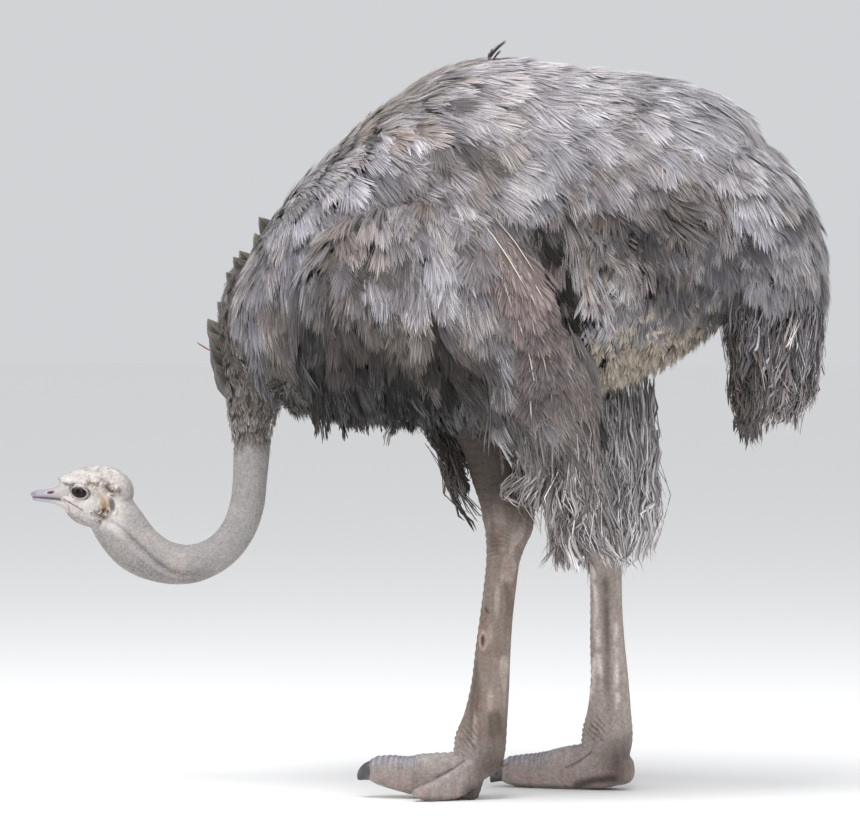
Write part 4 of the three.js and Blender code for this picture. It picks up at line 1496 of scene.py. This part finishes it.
roots = scatter(trunk_lie, 17.6, 71, shown_on_trunk)
TORN_ENDS = {"blades": 5, "fray": 0.25, "pull": 0.8, "clumps": 3, "curl": 6.0}
PARTS = [
    ("feathers_front_left", (roots[:, 0] >= 0) & (roots[:, 1] < 60)),
    ("feathers_front_right", (roots[:, 0] < 0) & (roots[:, 1] < 60)),
    ("feathers_rump_left", (roots[:, 0] >= 0) & (roots[:, 1] >= 60)),
    ("feathers_rump_right", (roots[:, 0] < 0) & (roots[:, 1] >= 60)),
]
for number, (name, chosen) in enumerate(PARTS):
    own = roots[chosen]
    x, y, z = own.T
    tones = plumage_tones(own, 80 + number)
    # Painted shade under the belly, in the hollows at the wing's front edge and by the tail, and
    # behind the wing; dark brown on the short nape.
    under = step(860, 760, z) * step(260, 120, y)
    hollow = crease(y, z, [(-172, 915), (-160, 720)], 34)
    hollow = np.maximum(blob(y, z, (545, 885), (42, 55)), hollow)
    cleft = crease(y, z, [(196, 1070), (262, 960), (300, 870), (326, 790)], 22)
    neck_back = ([776, 828, 883, 940, 984, 1027], [-388, -396, -379, -360, -340, -303])
    nape = step(64, 34, y - np.interp(z, *neck_back)) * step(1040, 1015, z)
    tones = toned_towards(tones, "2a2421", np.maximum(0.9 * under, 0.95 * hollow))
    tones = toned_towards(tones, "1c1714", np.clip(1.25 * cleft, 0, 1))
    tones = toned_towards(tones, "4a443d", 0.85 * nape)
    rng = np.random.default_rng(88 + number)
    ragged = patches(own, RAGGED)
    width = rng.uniform(42, 64, len(own)) * (1 - 0.45 * ragged)
    length = rng.uniform(76, 112, len(own)) * (1 - 0.2 * ragged)
    length *= (1 + 0.2 * step(1140, 1230, z)) * (1 - 0.5 * step(800, 710, z)) * (1 - 0.5 * nape)
    rise = 12 * rng.uniform(0.7, 1 + 1.2 * ragged) * (1 - 0.6 * nape)
    shafts, outs = comb(trunk_lie[2], own, trunk_flow, length, rise, 90 + number, yaw=0.27)
    torn = ragged > rng.uniform(0.3, 0.7, len(own))
    batches = []
    for group, ends, pale in ((~torn, {}, 1.0), (torn, TORN_ENDS, 1.3)):
        if group.any():
            deep, middle, tip = (tone[group] for tone in tones)
            batches += feathers(
                shafts[group], outs[group], width[group], (deep, middle, pale * tip),
                95 + 10 * number, **ends
            )
    coat(name, batches)

# ---------------------------------------------------------------- wings
# The folded wings hang as shields over the flanks: rows of soft coverts, long drooping feathers
# with pale shafts along the rear edge, and a dark, frayed hem.


def wing_flow(points):
    """Down, and a little back towards the rear edge."""
    lean = np.interp(points[:, 1], [-200, -60, 120, 300], [-0.05, 0.08, 0.3, 0.42])
    return unit(np.stack([0 * lean, lean, -np.ones(len(points))], 1))


def hang(starts, ends, knots, sway, seed, facing):
    """Shafts that swing out from their starts, then hang in slow waves that neighbours share."""
    rng = np.random.default_rng(seed)
    count = len(starts)
    t = np.linspace(0, 1, knots + 1)[None, :, None]
    ease = np.concatenate([t ** 0.7, t ** 0.7, t], 2)
    shafts = starts[:, None] * (1 - ease) + ends[:, None] * ease
    wave = np.sin(rng.uniform(0, 6.3, (count, 1, 3)) + t * rng.uniform(2.5, 8, (count, 1, 3)))
    wave = 0.6 * wave + 1.8 * (swirl(shafts, 60, seed) + 0.5 * swirl(shafts, 26, seed + 5))
    shafts = shafts + wave * sway * np.sin(np.pi * t * 0.6) * np.array([1.0, 1.0, 0.0])
    turn = rng.normal(0, 0.5, count)
    out = np.stack([facing * np.cos(turn), np.sin(turn), np.zeros(count)], 1)
    return shafts, np.repeat(out[:, None], knots + 1, axis=1)


def strands(shafts, outs, count, width, thick, seed, rings, wave=9.0, **look):
    """Long wavy strands that hang along each shaft and stray to both sides of it."""
    rng = np.random.default_rng(seed)
    tip_at = np.array(BARB_RINGS[rings] + [1.0])
    t = tip_at[None, None, :]
    shape = (len(shafts), count, 1)
    first = rng.uniform(0.0, 0.66, shape)
    s = first + (np.minimum(first + rng.uniform(0.26, 0.6, shape), 1.05) - first) * t
    width = np.broadcast_to(width, len(shafts)).reshape(-1, 1, 1)
    u = rng.uniform(-0.5, 0.5, shape) * width * (1 - 0.6 * t)
    u = u + rng.normal(0, 0.2, shape) * width * t
    spine, ahead, out = along_shaft(shafts, outs, s)
    line = spine + np.cross(ahead, out) * u[..., None] + out * rng.normal(0, 4, shape)[..., None]
    for size, far in ((36, wave), (13, 0.45 * wave)):
        line = line + far * np.sqrt(t)[..., None] * swirl(line, size, seed + size)
    vane = np.stack([u / width, s], -1)
    points, _, ridge, vane, lay, lean = slivers(line, out, thick, tip_at, vane, **look)
    return points, np.clip(vane[..., 1], 0, 1), ridge, vane, lay, lean


EDGE_ROWS = ((0, 11), (1, 11), (2, 10), (3, 7))
HEM_FEATHERS = 150
HEM_DRIPS = 17
for side, word in ((1, "left"), (-1, "right")):
    wing_lie = lie_of(WINGS[side], first=0.2, last=8.9, rings=80, sides=90, grow=-14)

    def shown_on_wing(points):
        """Whether a root on this wing lies outside the trunk."""
        bared = crease(points[:, 1], points[:, 2], [(150, 1060), (205, 985), (250, 890)], 30) > 0.5
        return (points[:, 0] * side > 110) & ~inside(TRUNK, points, -34) & ~bared

    rng = np.random.default_rng(100 + side)
    own = scatter(wing_lie, 17.2, 101 + side, shown_on_wing)
    x, y, z = own.T
    tones = plumage_tones(own, 105 + side)
    # Painted shade: the lower front of the wing and the cavity along its front edge go near black.
    low = step(930, 830, z + 46 * noise(own, 50, 103)) * step(190, 90, y)
    low = np.maximum(low, crease(y, z, [(-172, 915), (-165, 800), (-150, 700)], 32))
    tones = toned_towards(tones, "120e0c", np.where(rng.random(len(own)) > 0.16, 1.0, 0.75) * low)
    behind = y - np.interp(z, [640, 800, 960, 1080], [235, 215, 130, 60])
    rear = step(1060, 980, z) * step(-20, 30, behind)
    tones = toned_towards([tone * 0.93 for tone in tones], "7b6d66", 0.6 * rear)
    length = np.where(low > 0.3, np.interp(z, [680, 790], [40, 105]), 92)
    width = rng.uniform(0.75, 1.15, len(own)) * np.where(low > 0.3, 34, 48)
    shafts, outs = comb(
        wing_lie[2], own, wing_flow, length, 12, 110 + side, free=0.6, yaw=0.26
    )
    coat("feathers_wing_" + word, feathers(shafts, outs, width, tones, 115 + 5 * side))

    # Long feathers of the rear edge, taupe, with pale raised shafts.
    rng = np.random.default_rng(120 + side)
    long_roots = []
    for row, count in EDGE_ROWS:
        for k in range(count):
            drop = (k + rng.uniform(-0.2, 0.2)) / (count - 1)
            up = 1100 - 270 * drop - 8 * row
            at = np.interp(up, [830, 930, 1020, 1100], [262, 226, 172, 118]) - 20 * row
            long_roots.append([at + 6 * row, up])
    long_roots = np.array(long_roots)
    across = side * (120 + np.interp(long_roots[:, 1], [820, 1000, 1090], [175, 165, 105]))
    own, _ = nearest(wing_lie[2], np.column_stack([across, long_roots]))

    def rear_flow(points):
        """Down and back, steeper as the feathers hang lower."""
        lean = np.interp(points[:, 2], [650, 760, 900, 1080], [0.0, 0.1, 0.42, 0.62])
        return unit(np.stack([0 * lean, lean, -np.ones(len(points))], 1))

    length = np.interp(own[:, 2], [820, 960, 1090], [125, 190, 235])
    length = rng.uniform(0.8, 1.1, len(own)) * length
    shafts, outs = comb(
        wing_lie[2], own, rear_flow, length, 21, 124 + side, knots=10, yaw=0.06, free=0.5
    )
    middle = plain("857775", len(own)) * rng.normal(1, 0.1, (len(own), 1)) * 0.92
    low = step(990, 880, own[:, 2] + rng.normal(0, 25, len(own)))
    middle = tinted(middle, "5f5758", 0.9 * low)
    vanes = spread_barbs(
        shafts, outs, rng.uniform(40, 52, len(own)), 98, 126 + side, heart=0.86, reach=0.24,
        fan=2.9, sides=0.5, clumps=16, fray=0.07, pull=0.15, thick=2.3, curl=2.0
    )
    pale = tinted(middle, "cfc4b8", np.full(len(own), 0.8))
    ribs = quills(shafts, outs, 3.2, last=0.93, proud=2.0)
    coat("feathers_wing_edge_" + word, [
        (vanes, (middle * 0.6, middle, middle * 1.35), 2),
        (ribs, (pale * 0.8, pale, pale), 4),
    ])

    # The frayed hem: dark strands that hang from the lower edge.
    spots = []
    for _ in range(HEM_FEATHERS):
        at = rng.uniform(-196, 285)
        top = np.interp(at, [-196, -60, 210, 290], [790, 740, 730, 760]) + rng.uniform(-30, 30)
        spots.append([side * rng.uniform(150, 272), at, top])
    own, _ = nearest(wing_lie[2], np.array(spots))
    fall = np.interp(own[:, 1], [-196, -60, 20, 90, 170, 285], [712, 700, 708, 694, 610, 570])
    fall = fall + rng.uniform(-12, 40, len(own))
    fall = fall - 45 * step(0.3, 0.6, noise(own * [0, 1, 0], 20, 133))
    length = np.maximum(own[:, 2] - fall, 45)

    def hem_flow(points):
        """Straight down, and a little inwards."""
        return np.tile([-0.06 * side, 0.04, -1.0], (len(points), 1))

    shafts, outs = comb(wing_lie[2], own, hem_flow, length, 9, 130 + side, yaw=0.12, free=0.9)
    faded = step(80, 220, own[:, 1]) + 0.5 * noise(own, 60, 132) - 0.15
    middle = tinted(plain("1b1613", len(own)), "857d7b", faded)
    fringe = spread_barbs(
        shafts, outs, 26, 14, 134 + side, rings=3, heart=0.5, reach=0.6, fan=1.5, clumps=3,
        fray=0.14, pull=0.75, thick=2.4, curl=4.0
    )
    tops = np.column_stack([
        side * rng.uniform(150, 225, HEM_DRIPS), rng.uniform(-190, 110, HEM_DRIPS),
        np.full(HEM_DRIPS, 745.0),
    ])
    falls = tops + rng.normal(0, 7, (HEM_DRIPS, 3)) * [1, 1, 0]
    falls = falls - np.array([[0, 0, 1]]) * rng.uniform(50, 104, (HEM_DRIPS, 1))
    shafts, outs = hang(tops, falls, 6, 5, 136 + side, side)
    drips = strands(shafts, outs, 24, 13, 3.0, 138 + side, 3)
    dark = plain("2a221e", HEM_DRIPS)
    coat("feathers_wing_hem_" + word, [
        (fringe, (middle * 0.35, middle, middle * 1.25), 3),
        (drips, (dark * 0.5, dark, dark * 1.6), 3),
    ])

# ---------------------------------------------------------------- wing plumes
# The longest, limpest feathers of each wing. They hang in a frayed bundle behind the thigh,
# their barbs stuck together into ragged ribbons, pale grey where they have weathered. The right
# bundle, in the body's shade, is painted paler all over, as painted light.
# Each group of plumes: how far back it hangs, how low it ends and how far it spreads. The right
# bundle hangs a little further forward and lower.
PLUME_BUNDLE = [
    (200, 556, 34),
    (236, 526, 32),
    (268, 456, 32),
    (296, 412, 32),
    (326, 432, 28),
]
PLUMES_EACH = 16
PLUME_ROOT_UP = 790
RIGHT_BUNDLE = (-20, 34)


def limp_barbs(shafts, outs, width, tones, seed, broad, fine, wave=9.0):
    """Limp feathers, their barbs matted together: broad ribbons under fine, paler strands."""
    deep, middle, tip = tones
    ribbons = strands(shafts, outs, broad, width, 6.5, seed, "strand", wave, crest=0.15, hairs=4)
    wisps = strands(shafts, outs, fine, width * 1.35, 2.5, seed + 1, 3, wave)
    return [
        (ribbons, (deep, middle * 0.9, middle), "strand"),
        (wisps, (deep * 1.2, middle * 1.1, tip), 3),
    ]


for side, word in ((1, "left"), (-1, "right")):
    rng = np.random.default_rng(140 + side)
    paths = []
    for at, fall, half in PLUME_BUNDLE:
        shift, lower = (0, 0) if side > 0 else RIGHT_BUNDLE
        for k in range(PLUMES_EACH):
            out = rng.uniform(172, 236)
            spot = at + shift + rng.uniform(-half, half)
            top = PLUME_ROOT_UP - rng.uniform(0, 190) * (k % 2)
            low = fall - lower + 6 + abs(rng.normal(0, 34))
            high_at = min(spot - 10, 232 + 0.3 * (spot - 200)) + rng.normal(0, 16)
            paths.append((
                [side * out, high_at, top],
                [side * (out * 0.5 + 96), spot + rng.normal(2, 13), min(low, top - 90)],
            ))
    starts, ends = np.array(paths).swapaxes(0, 1)
    count = len(starts)
    shafts, outs = hang(starts, ends, 12, 19, 142 + side, side)
    # Painted light: the right bundle, shaded by the body, gets a paler colour and paler roots.
    middle = painted(plain("a39b99" if side > 0 else "dad5d5", count), [
        ("d3cdcf", 0.35 + 0.7 * noise(starts, 50, 144) + rng.normal(0, 0.6, count)),
        ("463c37", np.minimum(rng.normal(-0.1, 0.6, count), 0.95)),
    ])
    middle = middle * (1 + 0.5 * noise(shafts[:, 6], 34, 149))[:, None]
    tones = (middle * (0.25 if side > 0 else 0.5), middle, middle * 1.5)
    matted = limp_barbs(shafts, outs, 28, tones, 148 + side, 12, 26, 9.0 if side > 0 else 17.0)
    piece = coat("plumes_" + word, matted, soft=False)
    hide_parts("wing_plumes_" + word)

# ---------------------------------------------------------------- tail
# The tail droops behind the rump: soft coverts over its root, then long limp plumes that hang
# down and end in ragged strands. Its inner side, in the hollow against the rump, is painted dark as
# shade.
tail_lie = lie_of(TAIL, first=0.0, last=5.9, rings=90, sides=90, grow=-14)


def tail_flow(points):
    """Down along the tail."""
    rows = TAIL["rows"][:, :3]
    last = len(rows) - 1
    at = np.clip(np.interp(-points[:, 2], -rows[:, 2], np.arange(last + 1)), 0.01, last - 0.01)
    return unit(smooth_rows(rows, at + 0.2) - smooth_rows(rows, at - 0.2))


rng = np.random.default_rng(150)
own = scatter(tail_lie, 18.0, 151, lambda p: ~inside(TRUNK, p, -30))
x, y, z = own.T
# Painted shade on the tail's inner side, against the rump.
inner = step(640, 575, y) * step(985, 940, z)
tones = plumage_tones(own, 152)
tones = toned_towards(tones, "2b2421", 0.95 * inner)
tones = toned_towards(tones, "6a5d56", 0.5 * step(920, 860, z))
covert = z > 945 + 14 * noise(own, 40, 153)
length = np.where(covert, 88, np.interp(z, [690, 780, 860], [60, 105, 150]))
shafts, outs = comb(
    tail_lie[2], own, tail_flow, length, np.where(covert, 15, 10), 154, knots=8,
    yaw=0.24, free=0.5, droop=0.2
)
fans = feathers(shafts[covert], outs[covert], 44, [tone[covert] for tone in tones], 155)
limp = ~covert
streaks = rng.choice([0.55, 1.2, 1.9], (np.sum(limp), 1))
tones = [tone[limp] * streaks for tone in tones]
matted = limp_barbs(shafts[limp], outs[limp], 34, tones, 157, 4, 11, 11.0)
coat("feathers_tail_top", fans)
coat("feathers_tail_hang", matted, soft=False)

TAIL_STRANDS = 150
rng = np.random.default_rng(160)
paths = []
for _ in range(TAIL_STRANDS):
    turn = rng.uniform(0, 2 * np.pi)
    aside, back = np.array([math.cos(turn) * 118, math.sin(turn) * 62]) * rng.uniform(0.45, 1.0)
    start = [aside, 622 + back, rng.uniform(760, 850)]
    end = 612 + 0.95 * back
    low = np.interp(end, [545, 565, 585, 625, 660, 690], [720, 672, 622, 644, 700, 760])
    low += 0.3 * abs(aside) + abs(rng.normal(0, 20))
    paths.append((start, [aside * 0.85, end, low]))
starts, ends = np.array(paths).swapaxes(0, 1)
shafts, outs = hang(starts, ends, 8, 7, 161, 1)
outs = unit(np.repeat((starts - [0, 622, 0])[:, None] * [1, 1, 0], 9, axis=1) + 1e-3)
# The strands nearest the rump are painted dark, as shade.
middle = painted(plain("776b64", TAIL_STRANDS), [
    ("9b949a", rng.normal(0.4, 0.4, TAIL_STRANDS)),
    ("2f2723", 0.9 * step(630, 590, starts[:, 1])),
])
middle = middle * rng.choice([0.5, 1.0, 1.5], (TAIL_STRANDS, 1))
tones = (middle * 0.5, middle * 1.1, middle * 1.9)
coat("feathers_tail_end", limp_barbs(shafts, outs, 28, tones, 163, 6, 13, 10.0), soft=False)

# ---------------------------------------------------------------- underside
# Woolly cream down covers the belly behind the legs; in front of them and between the thighs
# hang short dark plumes.


def on_wool(points):
    """Whether a root lies on the woolly part of the belly."""
    return (points[:, 2] < belly_line(points[:, 1])) & (points[:, 1] > 130)


own = scatter(trunk_lie, 14.0, 171, on_wool)
x, y, z = own.T
rng = np.random.default_rng(172)
depth = z - belly_line(y)
shafts, outs = comb(
    trunk_lie[2], own, trunk_flow, 44, np.interp(depth, [-90, -20], [18, 8]), 173,
    knots=5, yaw=0.4, free=0.6
)
middle = painted(plain("d2c6b7", len(own)), [
    ("ab9883", 0.3 + 0.6 * noise(own, 26, 174)),
    ("9a948f", 0.7 * step(-30, 10, depth)),
])
fluff = feathers(
    shafts, outs, np.full(len(own), 38.0), (middle * 0.8, middle, middle * 1.1), 175,
    blades=7, loose=24, camber=0.4, heart=0.7, fan=1.6, curl=5.0
)
coat("down_belly", fluff)

# Locks of plumes under the belly: how far out and how far back each hangs, and how low it ends.
BELLY_LOCKS = [
    (-34, 322, 418),
    (-40, 350, 404),
    (-44, 378, 412),
    (-30, 296, 470),
    (50, 92, 560),
    (-52, 96, 566),
    (0, 206, 628),
]
LOCK_PLUMES = 11
THIGH_PLUMES = 13
BREAST_PLUMES = 110
paths = []
for out, at, fall in BELLY_LOCKS:
    for _ in range(LOCK_PLUMES):
        spot = at + rng.uniform(-24, 24)
        paths.append((
            [out + rng.uniform(-18, 18), spot - 8, 770 if at > 290 else 745],
            [out * 1.1 + rng.uniform(-10, 10), spot + 8, fall + abs(rng.normal(0, 34))],
        ))
for _ in range(THIGH_PLUMES):
    paths.append((
        [rng.uniform(84, 106), rng.uniform(-44, 30), 715],
        [rng.uniform(98, 116), 80 + rng.normal(0, 5), 492 + abs(rng.normal(0, 50))],
    ))
for _ in range(BREAST_PLUMES):
    at = rng.uniform(-330, 120)
    out = rng.uniform(-200, 200) * (1 - 0.5 * step(-200, -330, at))
    low = 60 * step(-220, -330, at)
    paths.append((
        [out, at, 735 + 60 * step(-280, -340, at)],
        [out, at + rng.uniform(-4, 14), 694 + rng.uniform(-8, 30) + low],
    ))
starts, ends = np.array(paths).swapaxes(0, 1)
count = len(starts)
shafts, outs = hang(starts, ends, 10, 15, 176, 1)
middle = painted(plain("3b332e", count), [
    ("5f554f", rng.normal(0.2, 0.4, count)),
    ("e4dfe1", (starts[:, 1] > 260) * rng.choice([0.45, 0.8, 1.0], count)),
])
tones = (middle * 0.45, middle, middle * 1.5)
matted = limp_barbs(shafts, outs, 25, tones, 178, 6, 12, 17.0)
coat("plumes_belly", matted, soft=False)

# ---------------------------------------------------------------- feathered base of the neck
# Short, close, hair-like feathers down to a ragged line round the neck, with a row of broad
# stiff ones standing off the nape.
neck_lie = lie_of(NECK, first=0.0, last=5.15, rings=90, sides=70, grow=-6)


def neck_flow(points):
    """Down the neck."""
    return np.tile([0.0, 0.02, -1.0], (len(points), 1))


def round_neck(points):
    """Places on an unwrap of the neck and head: round them, and up their height."""
    return unwrap_round((points[:, 0], points[:, 1] + 325), points[:, 2], 380, 680)


own = scatter(neck_lie, 10.0, 181, lambda p: ~inside(TRUNK, p, -40) & (p[:, 2] > 622))
x, y, z = own.T
rng = np.random.default_rng(182)
shafts, outs = comb(
    neck_lie[2], own, neck_flow, np.interp(z, [615, 760], [22, 34]), 6, 183,
    knots=4, yaw=0.3, free=0.4
)
middle = painted(plain("857d77", len(own)), [
    ("a09a96", 0.3 + 0.5 * noise(own, 36, 184)),
    ("4d443e", 0.7 * step(700, 800, z)),
])
middle *= rng.normal(1, 0.12, (len(own), 1))
short = spread_barbs(
    shafts, outs, 15, 10, 185, heart=0.6, fan=1.5, fray=0.1, clumps=3, thick=1.6, curl=3.0
)
tones = (middle * 0.5, middle, middle * 1.3)
coat("feathers_neck", [(short, tones, 2)], round_neck)

# Scale feathers of the nape, three abreast: their tips point up and stand off the neck, dark
# with a paler rim. One bare quill, red-brown, sticks out behind them.
NAPE_TIPS = [
    (-303, 1027), (-314, 1010), (-340, 984), (-352, 962), (-360, 940), (-355, 912),
    (-379, 883), (-396, 856), (-398, 828), (-394, 800), (-388, 776),
]
rng = np.random.default_rng(186)
tips = np.array([[aside, *tip] for tip in NAPE_TIPS for aside in (16, -16, 44)], float)
tips += np.repeat(rng.normal(0, 1, (len(NAPE_TIPS), 3)) * [2, 3, 5] + [0, -7, 2], 3, axis=0)
tips[:, 1] += 0.2 * (np.abs(tips[:, 0]) - 16)
tips[1::3] += [0, 4, -10]
count = len(tips)
stem = unit(np.column_stack([
    0.3 * np.sign(tips[:, 0]), rng.uniform(-0.75, -0.35, count), np.full(count, 0.9)
]))
t = np.linspace(-1, 0, 6)[None, :, None]
shafts = tips[:, None] + stem[:, None] * t * 60 + t * t * np.array([0.0, 12.0, 0.0])
outs = np.tile(unit(np.array([1.0, -0.35, 0.2])), (count, 6, 1)) * np.sign(tips[:, :1, None])
middle = plain("514a42", count) * rng.normal(1, 0.15, (count, 1))
pale = tinted(middle, "a9a294", np.full(count, 0.6))
vane = quills(shafts, outs, 46.0, base=1.0, peak=0.45, end=0.08, crest=0.1, hairs=12)
rim = spread_barbs(
    shafts, outs, rng.uniform(20, 27, count), 34, 190, "hair", heart=0.4, reach=0.34,
    fan=1.3, fray=0.04, pull=0.1, thick=2.0, lift=1.6, camber=0.2
)
QUILL = [[[40, -376, 786], [38, -392, 793], [36, -408, 801], [34, -424, 811]]]
bare = quills(np.array(QUILL, float), np.tile([0.7, 0.0, 0.7], (1, 4, 1)), 3.6)
red = plain("7d4a3c", 1)
coat("feathers_nape", [
    (vane, (middle * 0.5, middle * 0.9, middle * 1.25), 4),
    (rim, (middle * 0.6, middle, pale), "hair"),
    (bare, (red, red, red * 1.3), 4),
], round_neck, soft=False)

# ---------------------------------------------------------------- down and bristles
# Fine hairs that no feather hides: sparse pale down along the bare neck, bristles swept back over
# the crown, a tan tuft in front of the ear with brown bristles round it, and a peak over the bill.
skin_faces = [list(face.vertices) for face in body.data.polygons]
bare_lie = BVHTree.FromPolygons(points_of(body).tolist(), skin_faces)

# Each kind: how many, where (about which place and how far round it, by back and up, or all over
# the neck), which way they lie, their length and half thickness, colour, and how much they stray.
HAIRS = [
    ("neck", 1500, None, (0.0, 0.3, 0.95), 7, 0.55, "cfc9c4", 0.7),
    ("crown", 520, ((-612, 572), (52, 14)), (0.0, 1.0, 0.0), 9, 0.6, "cbbfb3", 0.4),
    ("speckled crown", 160, ((-600, 560), (40, 20)), (0.0, 1.0, -0.2), 8, 0.7, "7a6552", 0.4),
    ("tan tuft", 130, ((-595, 520), (6, 12)), (0.0, 0.3, -0.9), 13, 0.8, "cbb698", 0.25),
    ("over the ear", 90, ((-582, 541), (19, 5)), (0.0, 0.95, -0.2), 9, 0.6, "7a6350", 0.3),
    ("under the ear", 110, ((-602, 496), (12, 7)), (0.0, 0.5, -0.85), 10, 0.7, "5f4a3a", 0.3),
    ("behind the ear", 90, ((-568, 512), (6, 18)), (0.0, 0.7, -0.7), 10, 0.7, "d9d2ca", 0.3),
    ("cheek", 160, ((-628, 492), (24, 12)), (0.0, 0.9, -0.3), 7, 0.5, "d4ccc6", 0.4),
    ("peak", 120, ((-682, 563), (4, 3)), (0.0, -0.9, 0.1), 6, 0.6, "a89e92", 0.15),
    ("brow", 90, ((-648, 558), (20, 3)), (0.0, 0.6, -0.5), 8, 0.7, "6b5a4c", 0.3),
]
batches = []
for number, (kind, count, place, way, length, half, code, wander) in enumerate(HAIRS):
    rng = np.random.default_rng(210 + number)
    if kind == "neck":
        at = rng.uniform(4.9, 13.2, count)
        guess = surface(NECK, at, rng.uniform(0, 2 * np.pi, count))
    else:
        middle, spread = place
        spot = rng.normal(0, 0.6, (count, 2)) * spread + middle
        guess = np.column_stack([rng.choice([-60, 60], count), spot])
        if kind in ("crown", "speckled crown", "peak"):
            guess[:, 0] = rng.normal(0, 16, count)
    own, out = nearest(bare_lie, guess)
    heading = unit(np.array(way) + rng.normal(0, wander, (count, 3)))
    heading = unit(heading - out * ((heading * out).sum(1, keepdims=True) - 0.28))
    reach = length * rng.uniform(0.6, 1.2, (count, 1, 1))
    t = np.linspace(0, 1, 3)[None, :, None]
    shafts = own[:, None] - 0.5 * out[:, None] + heading[:, None] * t * reach
    outs = np.repeat(out[:, None], 3, axis=1)
    tone = plain(code, count) * rng.normal(1, 0.15, (count, 1))
    hairs = quills(shafts, outs, 2 * half, rings="hair", proud=0.0)
    batches.append((hairs, (tone, tone, tone), "hair"))
coat("bristles", batches, round_neck)

# ---------------------------------------------------------------- tuft on the back
# A few stiff, dark plumes stand up off the highest part of the back.
starts = np.array([[6 + 5 * k, 96 + 4 * k, 1300] for k in range(5)], float)
TUFT_TIPS = [[2, 138, 1352], [10, 128, 1345], [16, 118, 1338], [24, 112, 1330], [30, 134, 1334]]
t = np.linspace(0, 1, 5)[None, :, None]
shafts = starts[:, None] * (1 - t) + np.array(TUFT_TIPS, float)[:, None] * t
shafts = shafts + [0, 0, 6] * np.sin(np.pi * t)
outs = np.tile([0.3, -0.6, 0.75], (5, 5, 1))
middle = plain("57504e", 5)
wisps = spread_barbs(
    shafts, outs, 17, 22, 191, rings=3, heart=0.6, reach=0.6, fan=1.2, pull=0.7, thick=1.8
)
coat("feathers_back_tuft", [(wisps, (middle * 0.6, middle, middle * 2.2), 3)])
